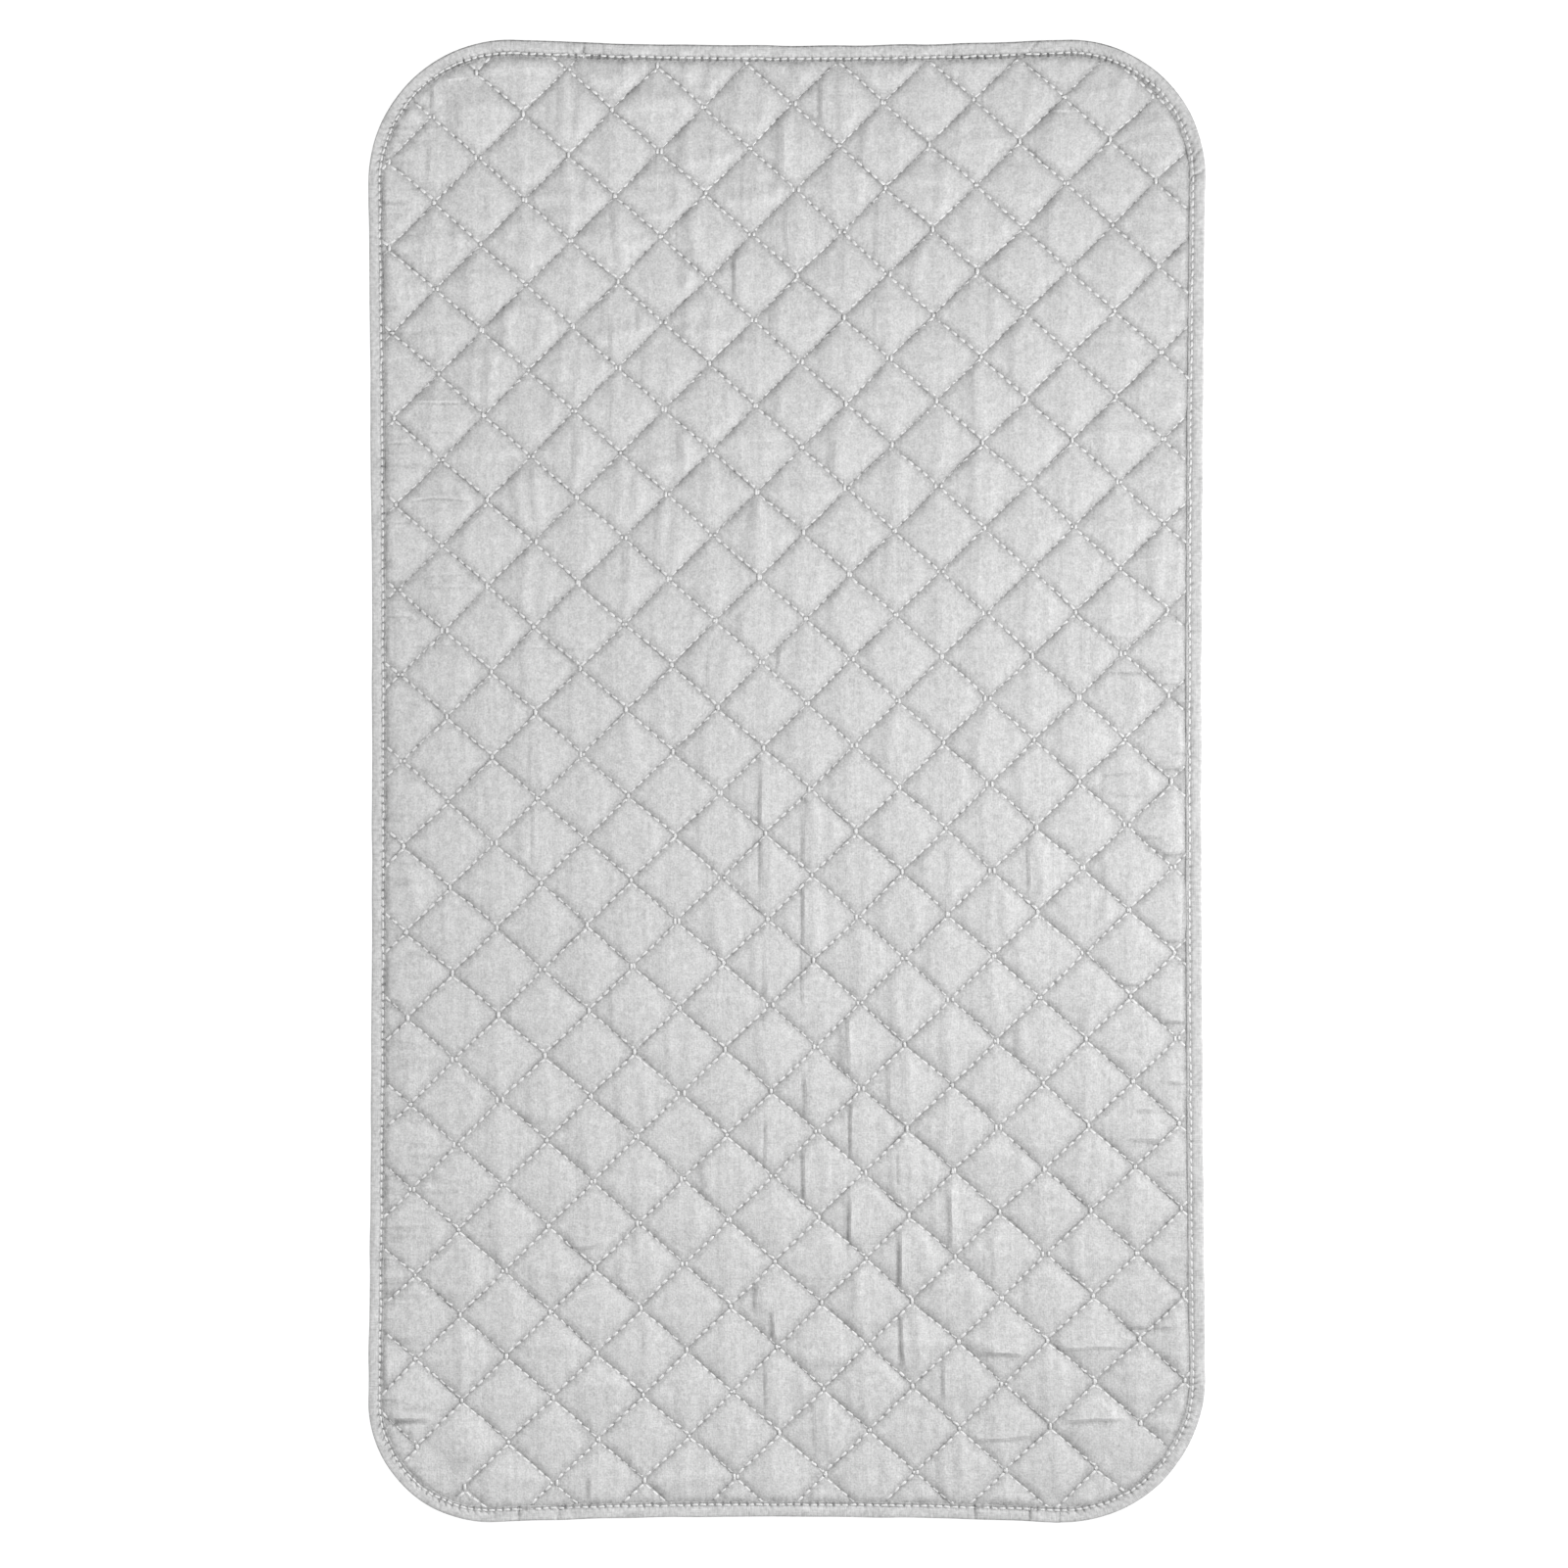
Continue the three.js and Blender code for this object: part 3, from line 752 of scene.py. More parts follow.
def height_at(grid, p, q):
    """Height of a quilted sheet at lattice coordinates, between the four nearest grid points."""
    full = np.full(grid.used.shape, np.nan)
    full[grid.used] = grid.z
    spots = []
    for coordinate in (p, q):
        cell = np.floor(coordinate)
        within = np.interp(coordinate - cell, grid.knots, np.arange(grid.steps + 1))
        spots.append((cell + LATTICE_REACH) * grid.steps + within)
    i, j = (np.floor(spot).astype(int) for spot in spots)
    return blend(full, i, j, spots[0] - i, spots[1] - j)


# Backing cloth and padding

# The backing's diamonds are filled out this much sooner than the face's
BACKING_FILL = 1.35
BACKING_RIPPLES = ((0.00012, 0.012, 0.03, 31),)
# The padding follows the lowest of the face within this distance, from this far under the tape
FACE_MARGIN = 0.0024
PADDED_FROM = 0.001
# Room for a magnet beside it and over it
MAGNET_MARGIN = 0.004
MAGNET_CLEARANCE = 0.0003


def make_backing_cloth():
    grid = quilt_grid(STITCHES_PER_EDGE)
    form = pillow(grid)
    drop = np.minimum(form * BACKING_FILL, 1)
    creases = ripples(grid.x, grid.y, BACKING_RIPPLES) * form
    grid.z = np.maximum(BACKING_SEWN - (BACKING_SEWN - BACKING_LOW) * drop + creases, BACKING_LOW)
    points = np.stack([grid.x, grid.y, grid.z], 1)
    backing = new_piece("backing_cloth_quilted", points, grid.quads[:, ::-1])
    add_uv(backing, "stitches", np.stack([grid.p, grid.q], 1) * STITCHES_PER_EDGE)
    # Painted shade along the backing's sewn lines, kept on the mesh for its colour
    add_values(backing, "groove_shade", on_stitches(grid))
    return backing, grid


def make_batting(face, backing):
    """The padding between the two cloths, a closed form that follows both and leaves room for the magnets."""
    grid = quilt_grid(STITCHES_PER_EDGE)
    padded = grid.past_tape > -PADDED_FROM
    top = np.full(len(grid.p), FACE_SEWN)
    reach = FACE_MARGIN / SIDE_LENGTH
    steps = (-reach, -reach / 2, 0, reach / 2, reach)
    p, q = grid.p[padded], grid.q[padded]
    over = [height_at(face, p + aside, q + ahead) for aside in steps for ahead in steps]
    top[padded] = np.min(np.nan_to_num(over, nan=FACE_SEWN), 0)
    top -= LAYER_GAP
    bottom = backing.z + LAYER_GAP
    for off, radius, magnet_top in magnet_discs(grid):
        near = off < radius + MAGNET_MARGIN
        bottom[near] = np.maximum(bottom[near], magnet_top + MAGNET_CLEARANCE)
    top = np.maximum(top, bottom + LAYER_GAP)
    count = len(grid.p)
    start = grid.quads.ravel()
    end = np.roll(grid.quads, -1, 1).ravel()
    keys = np.minimum(start, end) * count + np.maximum(start, end)
    _, first, times = np.unique(keys, return_index=True, return_counts=True)
    rim = first[times == 1]
    wall = np.stack([end[rim], start[rim], start[rim] + count, end[rim] + count], 1)
    faces = np.concatenate([grid.quads, grid.quads[:, ::-1] + count, wall])
    points = np.concatenate([np.column_stack([grid.x, grid.y, level]) for level in (top, bottom)])
    return new_piece("batting_fill", points, faces)


# Bound edge

# Section of the folded tape: distance in from the edge, height, share of the puckers, all round
TAPE_SECTION = (
    (0.00920, 0.00430, 0.2), (0.00935, 0.00445, 0.5), (0.00925, 0.00472, 0.9), (0.00870, 0.00492, 1.0),
    (0.00790, 0.00496, 1.0), (0.00720, 0.00490, 1.0), (0.00650, 0.00514, 1.0), (0.00560, 0.00536, 1.0),
    (0.00450, 0.00548, 1.0), (0.00340, 0.00550, 1.0), (0.00235, 0.00550, 0.9), (0.00120, 0.00546, 0.5),
    (0.00050, 0.00530, 0.2), (0.00012, 0.00485, 0.1), (0.00000, 0.00400, 0.0), (0.00004, 0.00290, 0.0),
    (0.00035, 0.00170, 0.0), (0.00120, 0.00070, 0.0), (0.00250, 0.00020, 0.0), (0.00420, 0.00005, 0.0),
    (0.00640, 0.00000, 0.0), (0.00720, 0.00035, 0.0), (0.00800, 0.00000, 0.0), (0.00915, 0.00020, 0.0),
    (0.00920, 0.00090, 0.0), (0.00880, 0.00125, 0.0), (0.00600, 0.00130, 0.0), (0.00320, 0.00155, 0.0),
    (0.00175, 0.00230, 0.0), (0.00145, 0.00295, 0.0), (0.00175, 0.00365, 0.0), (0.00320, 0.00430, 0.0),
    (0.00600, 0.00443, 0.0), (0.00880, 0.00440, 0.0),
)
STATIONS_PER_STITCH = 4

# Sway of the tape's inner edge (all round, and more at corners) and of its outer one: height, lengths, seed
INNER_SWAY = ((0.00022, 0.010, 1, 43),)
CORNER_SWAY = ((0.00018, 0.0045, 1, 44),)
STRAIGHT_SWAY = 0.4
OUTER_SWAY = ((0.00025, 0.020, 1, 45),)
# The section's points that sway: inner ones on the upper side, and outer ones
INNER_FROM = 0.0075
INNER_SPAN = 0.0015
UPPER_FROM = 0.003
OUTER_TO = 0.004

# Ruffles of the tape's upper side: height, lengths along and across the tape, seed
TAPE_RUFFLES = ((0.00016, 0.014, 0.02, 42), (0.00018, 0.0055, 0.006, 46))
# Share of the seam's gathering that is left on straight edges
STRAIGHT_GATHER = 0.35
# Bands of the tape: distance in from the edge and width
SEAM_BAND = (SEAM_IN, 0.0008)
TUCK_BAND = (0.0062, 0.0015)
LIP_WAVE_BAND = (0.0088, 0.0012)
LIP_SHADE_BAND = (0.0088, 0.0008)
OUTER_SHADE_BAND = (0.0002, 0.0006)
# Depths of the hollow that the seam draws, of its dimples at the needle holes and of the tucks beside it, and
# the height of the waves of the tape's inner lip
SEAM_HOLLOW = 0.00016
SEAM_DIMPLE = 0.00026
TUCK_DEPTH = 0.00085
LIP_WAVE = 0.00040
# How the tucks slant, shift and vary in size
TUCK_SLANT = 0.006
TUCK_SHIFTS = ((0.5, 3, 0.02, 41),)
TUCK_SIZES = ((0.5, 1.5, 0.01, 47),)
# How dark the painted shade of the seam, the lip, the tucks and the folds is, and the most that they make
# together
SEAM_SHADE = 0.8
LIP_SHADE = 0.85
TUCK_SHADE = 2.2
TAPE_FOLD_SHADE_STRENGTH = 0.9
MOST_SHADE = 1.5
# How much of the seam's and the lip's painted shade each side has, and how dark the painted shade of its
# outer fold is; both differ by side as the light falls
SEAM_SHADE_BY_SIDE = {(1, 0): 0.5, (0, 1): 1.7, (-1, 0): 1.3, (0, -1): 1.3}
OUTER_SHADES = {(0, 1): 1.5, (-1, 0): 0.3}

# Slanted folds and the lap of the tape's two ends: places on the edge, slant and height of the step
TAPE_FOLDS = (
    ((-0.1160, 0.425), 0.1, 0.00045), ((-0.1050, 0.425), -0.1, 0.00045), ((0.1400, 0.425), 0.9, 0.00060),
    ((0.2400, 0.3600), -0.7, 0.00050), ((0.2400, 0.3470), -0.7, 0.00045), ((-0.1535, -0.425), 0.1, 0.00045),
    ((-0.1300, -0.425), 0.2, 0.00050), ((0.1080, -0.425), -0.2, 0.00050), ((0.1390, -0.425), 0.1, 0.00045),
)
# A fold along the tape: a steep step up, a long way down again, a crease at its foot and the width of the
# painted shade there
TAPE_FOLD_STEP = 0.0016
TAPE_FOLD_LENGTH = 0.012
TAPE_FOLD_CREASE = 0.0010
TAPE_FOLD_SHADE = 0.0008


def seam_pitch(edge):
    """Length of a seam stitch, so that a whole number goes round."""
    return edge.length / round(edge.length / SEAM_STITCH)


def tape_puckers(edge, inset):
    """Height of the ruffles on the tape's upper side and their painted shade, for each station and inset."""
    along, deep = np.meshgrid(edge.along, inset, indexing="ij")
    # Painted shade that differs by side as the light falls: most on the top and left, least on the right
    side_shade = by_side(SEAM_SHADE_BY_SIDE, *edge.outward.T)[:, None]
    outer_shade = by_side(OUTER_SHADES, *edge.outward.T)[:, None]
    drawn_in = STRAIGHT_GATHER + (1 - STRAIGHT_GATHER) * edge.corner[:, None]
    turns = along / seam_pitch(edge)
    in_seam, in_tucks, in_lip_wave, in_lip_shade, in_outer_shade = (
        bell(deep - middle, width)
        for middle, width in (SEAM_BAND, TUCK_BAND, LIP_WAVE_BAND, LIP_SHADE_BAND, OUTER_SHADE_BAND)
    )
    dimple = 0.5 + 0.5 * np.cos(2 * math.pi * turns)
    slanted = turns + (deep - SEAM_IN) / TUCK_SLANT + ripples(turns, deep, TUCK_SHIFTS)
    tuck = np.clip(np.cos(2 * math.pi * slanted), 0, 1) ** 3 * (0.5 + ripples(turns, deep, TUCK_SIZES))
    tuck *= drawn_in * in_tucks
    height = ripples(along, deep, TAPE_RUFFLES)
    height -= TUCK_DEPTH * tuck + (SEAM_HOLLOW + SEAM_DIMPLE * dimple) * in_seam
    height += LIP_WAVE * drawn_in * (0.5 - dimple) * in_lip_wave
    # Painted shade in the seam's hollow, at the inner lip, in the tucks, at the outer fold and along the
    # folds
    dark = side_shade * (SEAM_SHADE * in_seam + LIP_SHADE * in_lip_shade) + TUCK_SHADE * tuck
    dark += outer_shade * in_outer_shade
    for place, slant, step in TAPE_FOLDS:
        start = edge.along[np.argmin(np.linalg.norm(edge.place - place, axis=1))]
        off = along - start - slant * (deep - TAPE_WIDTH / 2)
        ridge = smooth_step(off / TAPE_FOLD_STEP) * smooth_step(1 - off / TAPE_FOLD_LENGTH)
        height += step * (ridge - bell(off, TAPE_FOLD_CREASE))
        dark += TAPE_FOLD_SHADE_STRENGTH * bell(off, TAPE_FOLD_SHADE)
    return height, np.minimum(dark, MOST_SHADE)


def make_edge_binding():
    edge = outline(SEAM_STITCH / STATIONS_PER_STITCH)
    section = np.array(TAPE_SECTION)
    stations, around = len(edge.along), len(section)
    inset = section[:, 0] * by_side(TAPE_SHARES, *edge.outward.T)[:, None]
    ruffles, dark = tape_puckers(edge, section[:, 0])
    height = section[:, 1] + section[:, 2] * ruffles
    inner, corners, outer = (
        ripples(edge.along, 0 * edge.along, waves)[:, None] for waves in (INNER_SWAY, CORNER_SWAY, OUTER_SWAY)
    )
    sway = inner + corners * (STRAIGHT_SWAY + edge.corner[:, None])
    inset += sway * smooth_step((section[:, 0] - INNER_FROM) / INNER_SPAN) * (section[:, 1] > UPPER_FROM)
    inset += outer * (section[:, 0] < OUTER_TO)
    flat = edge.place[:, None, :] - edge.outward[:, None, :] * inset[..., None]
    points = np.concatenate([flat, np.maximum(height, 0)[..., None]], 2).reshape(-1, 3)
    station, corner = np.meshgrid(np.arange(stations), np.arange(around), indexing="ij")
    next_station, next_corner = (station + 1) % stations, (corner + 1) % around
    quads = np.stack([
        station * around + corner, station * around + next_corner,
        next_station * around + next_corner, next_station * around + corner,
    ], -1).reshape(-1, 4)
    binding = new_piece("edge_binding_tape", points, quads)
    girth = run_along(section[:, :2])
    add_uv(binding, "tape", np.stack([np.repeat(edge.along, around), np.tile(girth, stations)], 1))
    # The seam values are the painted shade of the tape's seam, lip, tucks and folds
    add_values(binding, "seam", (dark * (section[:, 2] > 0)).ravel())
    return binding, edge


# Stitches

# One stitch: the share of its length that shows, its rise over the cloth and its ends, which dive into it
STITCH_SHOWN = 0.70
STITCH_LIFT = 0.00026
STITCH_DIVE = -0.00022
END_PAST = 0.05
END_GIRTH = 0.6
SHOULDER_IN = 0.10
STRAND_SIDES = 5

# First and last of the lattice's columns and rows that zigzag rows are sewn on
SEWN_COLUMNS = (-11, 10)
SEWN_ROWS = (-19, 19)
# At their turns neighbouring rows lie apart or overlap, and each runs straight for a random share of a
# length: at least the first of the shares, and up to the second more
WIDEST_ROW_GAP = 0.0038
ROW_OVERLAP = 0.0010
TURN_INSET = 0.0003
FLAT_AT_TURN = 0.0040
FLAT_SHARES = (0.4, 0.8)
# How far the needle holes are scattered, and how far the quilting runs on under the tape
QUILTING_SCATTER = 0.00014
SEAM_SCATTER = 0.00022
SEWN_UNDER_TAPE = 0.002
# How deep the thread is drawn in on rising sides of the upper half and on falling sides of the lower half
RISING_SINK = 0.00032
FALLING_SINK = 0.00016
HALVES_BLEND = 0.35


def make_stitch(name, facing):
    """One stitch, a metre long between its needle holes: a strand that dives into the cloth at both ends."""
    half = STITCH_SHOWN / 2
    rings = (
        (-half - END_PAST, STITCH_DIVE, END_GIRTH), (-half + SHOULDER_IN, STITCH_LIFT, 1.0),
        (half - SHOULDER_IN, STITCH_LIFT, 1.0), (half + END_PAST, STITCH_DIVE, END_GIRTH),
    )
    sides = STRAND_SIDES
    points = []
    for along, lift, girth in rings:
        for side in range(sides):
            angle = 2 * math.pi * side / sides
            width = THREAD_WIDTH / 2 * girth * math.cos(angle)
            height = lift + THREAD_HEIGHT / 2 * girth * math.sin(angle)
            points.append((along, facing * width, facing * height))
    faces = [tuple(range(sides))[::-1], tuple(range((len(rings) - 1) * sides, len(rings) * sides))]
    for ring in range(len(rings) - 1):
        for side in range(sides):
            here, over = ring * sides + side, ring * sides + (side + 1) % sides
            faces.append((here, over, over + sides, here + sides))
    return new_piece(name, points, [face[::-1] for face in faces])


def stitches_along_edges():
    """Geometry Nodes: each edge of the needle-hole line becomes one stitch."""
    tree = bpy.data.node_groups.new("stitches along edges", "GeometryNodeTree")
    sockets = tree.interface
    sockets.new_socket("Needle holes", in_out="INPUT", socket_type="NodeSocketGeometry")
    names = {"Stitch": "NodeSocketObject", "Thickness": "NodeSocketFloat", "Thread": "NodeSocketMaterial"}
    identifiers = {}
    for name, kind in names.items():
        identifiers[name] = sockets.new_socket(name, in_out="INPUT", socket_type=kind).identifier
    sockets.new_socket("Stitches", in_out="OUTPUT", socket_type="NodeSocketGeometry")
    given = add_node(tree, "NodeGroupInput")
    ends = add_node(tree, "GeometryNodeInputMeshEdgeVertices")
    span = add_node(
        tree, "ShaderNodeVectorMath", {0: ends.outputs["Position 2"], 1: ends.outputs["Position 1"]},
        operation="SUBTRACT",
    )
    kept = add_node(tree, "GeometryNodeCaptureAttribute", domain="EDGE")
    kept.capture_items.new("VECTOR", "Span")
    tree.links.new(given.outputs["Needle holes"], kept.inputs["Geometry"])
    tree.links.new(span.outputs["Vector"], kept.inputs["Span"])
    middles = add_node(tree, "GeometryNodeMeshToPoints", {"Mesh": kept.outputs["Geometry"]}, mode="EDGES")
    length = add_node(tree, "ShaderNodeVectorMath", {0: kept.outputs["Span"]}, operation="LENGTH")
    thick = given.outputs["Thickness"]
    scale = add_node(tree, "ShaderNodeCombineXYZ", {"X": length.outputs["Value"], "Y": thick, "Z": thick})
    turned = add_node(tree, "FunctionNodeAlignRotationToVector", {"Vector": kept.outputs["Span"]}, axis="X")
    shape = add_node(tree, "GeometryNodeObjectInfo", {"Object": given.outputs["Stitch"]})
    placed = add_node(tree, "GeometryNodeInstanceOnPoints", {
        "Points": middles.outputs["Points"], "Instance": shape.outputs["Geometry"],
        "Rotation": turned.outputs["Rotation"], "Scale": scale.outputs["Vector"],
    })
    joined = add_node(tree, "GeometryNodeRealizeInstances", {"Geometry": placed.outputs["Instances"]})
    coloured = add_node(tree, "GeometryNodeSetMaterial", {
        "Geometry": joined.outputs["Geometry"], "Material": given.outputs["Thread"],
    })
    result = add_node(tree, "NodeGroupOutput")
    tree.links.new(coloured.outputs["Geometry"], result.inputs["Stitches"])
    return tree, identifiers


def sew(name, holes, pairs, facing, thread, thickness=1.0):
    """Stitches between pairs of needle holes, as one plain mesh."""
    line = new_piece(name + "_holes", holes, [], pairs)
    stitch = make_stitch(name + "_one", facing)
    tree, identifiers = sewing
    modifier = line.modifiers.new("stitches", "NODES")
    modifier.node_group = tree
    modifier[identifiers["Stitch"]] = stitch
    modifier[identifiers["Thickness"]] = thickness
    modifier[identifiers["Thread"]] = thread
    ready = line.evaluated_get(bpy.context.evaluated_depsgraph_get())
    mesh = bpy.data.meshes.new_from_object(ready)
    mesh.name = name
    mesh.shade_smooth()
    for helper in (line, stitch):
        bpy.data.objects.remove(helper)
    return new_object(name, mesh)


def quilting_holes():
    """Needle holes of every zigzag row, and the pairs of holes that a stitch joins."""
    random = np.random.default_rng(51)
    columns, rows = (np.arange(first, last + 1) for first, last in (SEWN_COLUMNS, SEWN_ROWS))
    gaps = WIDEST_ROW_GAP * random.random((len(columns) + 1, len(rows))) ** 2 - ROW_OVERLAP
    up = ALONG / np.linalg.norm(ALONG)
    out = ACROSS / np.linalg.norm(ACROSS)
    holes, pairs = [], []
    for strip, column in enumerate(columns):
        path = []
        for step, row in enumerate(rows):
            right = (column + row) % 2
            turn = FIRST_CROSSING + (column + right) * ACROSS + row * ALONG
            turn = turn + (1 - 2 * right) * (gaps[strip + right, step] / 2 + TURN_INSET) * out
            flat = FLAT_AT_TURN * (FLAT_SHARES[0] + FLAT_SHARES[1] * random.random())
            low, high = turn - flat / 2 * up, turn + flat / 2 * up
            if path:
                share = np.arange(1, STITCHES_PER_EDGE - 1)[:, None] / (STITCHES_PER_EDGE - 1)
                path += list(path[-1] + (low - path[-1]) * share)
            path += [low, high]
        first = len(holes)
        holes += path
        pairs += [(k, k + 1) for k in range(first, first + len(path) - 1)]
    holes = np.array(holes)
    return holes + drift(holes) + random.normal(0, QUILTING_SCATTER, holes.shape), np.array(pairs)


def quilting_stitches(name, grid, facing, thread):
    """The stitches of all rows on one side of the pad, cut off under the tape and left out where unpicked."""
    holes, pairs = quilting_holes()
    past = past_tape(holes[:, 0], holes[:, 1])
    middle = lattice_at((holes[pairs[:, 0]] + holes[pairs[:, 1]]) / 2)
    sewn = loosened(middle[:, 0], middle[:, 1], reach=0.2) < 0.5
    shown = (past[pairs] > -SEWN_UNDER_TAPE).all(1) & sewn
    used, pairs = np.unique(pairs[shown], return_inverse=True)
    holes = holes[used]
    at = lattice_at(holes)
    upper = smooth_step(0.5 + holes[:, 1] / HALVES_BLEND)
    on_rising = line_distance(at[:, 1]) < line_distance(at[:, 0])
    sunk = np.where(on_rising, RISING_SINK * upper, FALLING_SINK * (1 - upper))
    z = height_at(grid, at[:, 0], at[:, 1]) - facing * sunk
    return sew(name, np.column_stack([holes, z]), pairs.reshape(-1, 2), facing, thread)


def seam_stitches(name, edge, z, facing, thread, thickness):
    """The one row of stitches round the bound edge."""
    pitch = seam_pitch(edge)
    at = np.arange(round(edge.length / pitch)) * pitch
    inside = edge.place - edge.outward * SEAM_IN * by_side(TAPE_SHARES, *edge.outward.T)[:, None]
    looped = np.concatenate([edge.along, [edge.length]])
    holes = np.stack([np.interp(at, looped, np.append(inside[:, k], inside[0, k])) for k in (0, 1)], 1)
    holes += np.random.default_rng(52).normal(0, SEAM_SCATTER, holes.shape)
    pairs = [(k, (k + 1) % len(at)) for k in range(len(at))]
    return sew(name, np.column_stack([holes, np.full(len(at), z)]), pairs, facing, thread, thickness)


# Materials

FACE_GREY = 0.62
BACKING_GREY = 0.60
TAPE_GREY = 0.61
THREAD_GREY = 0.745
FLEECE_GREY = 0.86
MAGNET_GREY = 0.60
# A needle hole's painted shade is blurred out to this many radii. On the tape the painted shade of the seam
# and of its holes is this dark.
HOLE_BLUR = 2.4
TAPE_SEAM_SHADE = 0.34
TAPE_HOLE_SHADE = 0.16


def maths(tree, operation, first, second=0.0, third=0.0):
    node = add_node(tree, "ShaderNodeMath", {0: first, 1: second, 2: third}, operation=operation)
    return node.outputs["Value"]


def ramp(tree, value, low, high, start=0.0, end=1.0):
    """start where a value is low or less, end where it is high or more, and even between them."""
    inputs = {"Value": value, "From Min": low, "From Max": high, "To Min": start, "To Max": end}
    return add_node(tree, "ShaderNodeMapRange", inputs).outputs["Result"]


def grain(tree, vector, scale, seed, detail=2.0):
    """Noise about 0, stretched by a scale for each axis (in grains a metre)."""
    mapping = {"Vector": vector, "Location": (seed, seed, 0), "Scale": scale}
    mapped = add_node(tree, "ShaderNodeMapping", mapping).outputs["Vector"]
    noise = add_node(tree, "ShaderNodeTexNoise", {"Vector": mapped, "Scale": 1.0, "Detail": detail})
    return maths(tree, "SUBTRACT", noise.outputs["Fac"], 0.5)


def place_on(tree):
    return add_node(tree, "ShaderNodeTexCoord").outputs["Object"]


def mesh_value(tree, name):
    return add_node(tree, "ShaderNodeAttribute", attribute_name=name).outputs["Fac"]


def summed(tree, parts, start=1.0):
    """start plus each socket times its share."""
    total = start
    for socket, share in parts:
        total = maths(tree, "MULTIPLY_ADD", socket, share, total)
    return total


def new_material(name):
    material = bpy.data.materials.new(name)
    material.use_nodes = True
    return material, material.node_tree


def finish_surface(tree, grey, tone, relief, rough, depth, **looks):
    """Colour, roughness and bump of a surface from its grains, and its other looks by name."""
    shader = tree.nodes["Principled BSDF"]
    tree.links.new(maths(tree, "MULTIPLY", tone, grey), shader.inputs["Base Color"])
    tree.links.new(rough, shader.inputs["Roughness"])
    bump = add_node(tree, "ShaderNodeBump", {"Height": relief, "Distance": depth, "Strength": 1.0})
    tree.links.new(bump.outputs["Normal"], shader.inputs["Normal"])
    names = {"specular": "Specular IOR Level", "sheen": "Sheen Weight", "metallic": "Metallic"}
    for look, value in looks.items():
        shader.inputs[names[look]].default_value = value


def needle_holes(tree):
    """1 in a needle hole and 0 away from it. Holes lie on both sets of lines, evenly from a side's middle."""
    uv = add_node(tree, "ShaderNodeUVMap", uv_map="stitches")
    parts = add_node(tree, "ShaderNodeSeparateXYZ", {"Vector": uv.outputs["UV"]}).outputs
    slanted = SIDE_LENGTH - FLAT_AT_TURN * DIAMOND_LENGTH / 2 / SIDE_LENGTH
    stitch = slanted / (STITCHES_PER_EDGE - 1) * STITCHES_PER_EDGE / SIDE_LENGTH
    radius = HOLE_RADIUS / SIDE_LENGTH * STITCHES_PER_EDGE
    half = STITCHES_PER_EDGE / 2
    holes = []
    for line, along in ((parts["X"], parts["Y"]), (parts["Y"], parts["X"])):
        off = maths(tree, "PINGPONG", line, half)
        from_middle = maths(tree, "SUBTRACT", half, maths(tree, "PINGPONG", along, half))
        past = maths(tree, "PINGPONG", from_middle, stitch / 2)
        squared = maths(tree, "MULTIPLY_ADD", off, off, maths(tree, "MULTIPLY", past, past))
        holes.append(ramp(tree, maths(tree, "SQRT", squared), radius, HOLE_BLUR * radius, 1.0, 0.0))
    return maths(tree, "MAXIMUM", holes[0], holes[1])


def face_fabric():
    material, tree = new_material("silver grey coated cotton")
    place = place_on(tree)
    speckle = grain(tree, place, (900, 900, 900), seed=3.1, detail=3.0)
    mottle = grain(tree, place, (330, 260, 300), seed=8.6)
    streaks = grain(tree, place, (620, 28, 100), seed=7.7)
    clouds = grain(tree, place, (16, 16, 16), seed=1.3)
    warp = grain(tree, place, (1900, 260, 100), seed=5.5)
    weft = grain(tree, place, (260, 1900, 100), seed=9.2)
    crosswise = grain(tree, place, (38, 170, 100), seed=2.9, detail=1.0)
    # Painted shade: the cloth's colour is darker in the grooves beside the stitches and in the painted shadow
    # beside the tape
    groove_shade = ramp(tree, mesh_value(tree, "groove_shade"), low=0.25, high=1.0)
    # Painted shade at the feet of the deep creases
    crease_shade = ramp(tree, mesh_value(tree, "crease"), low=0.2, high=1.0)
    # Fine wrinkles along the long sides: bumped, and drawn as thin lines of painted shade
    sparse = ramp(tree, crosswise, low=0.02, high=0.22)
    wrinkles = maths(tree, "MULTIPLY", sparse, mesh_value(tree, "gathered"))
    tone = summed(tree, [
        (speckle, 0.74), (mottle, 0.44), (streaks, 0.18), (clouds, 0.08),
        # Painted shade also darkens the needle holes, as it does the grooves, the crease feet and the fine
        # wrinkles
        (groove_shade, -0.32), (crease_shade, -0.40), (wrinkles, -0.16), (needle_holes(tree), -0.15),
    ])
    weave = [(warp, 0.6), (weft, 0.6), (speckle, 0.5), (streaks, 0.5), (wrinkles, -2.0)]
    relief = summed(tree, weave, start=0.0)
    rough = summed(tree, [(speckle, 0.2), (clouds, 0.1)], start=0.62)
    finish_surface(tree, FACE_GREY, tone, relief, rough, depth=0.00025, specular=0.35, sheen=0.05)
    return material


def backing_fabric():
    material, tree = new_material("plain woven cotton")
    place = place_on(tree)
    warp = grain(tree, place, (1500, 150, 100), seed=2.4)
    weft = grain(tree, place, (150, 1500, 100), seed=6.1)
    clouds = grain(tree, place, (14, 14, 14), seed=4.0)
    # Painted shade: the backing's colour is darker along its sewn lines
    tone = summed(tree, [(warp, 0.2), (weft, 0.2), (clouds, 0.08), (mesh_value(tree, "groove_shade"), -0.14)])
    relief = summed(tree, [(warp, 1.0), (weft, 1.0)], start=0.0)
    rough = summed(tree, [(warp, 0.1)], start=0.85)
    finish_surface(tree, BACKING_GREY, tone, relief, rough, depth=0.0003, specular=0.2)
    return material


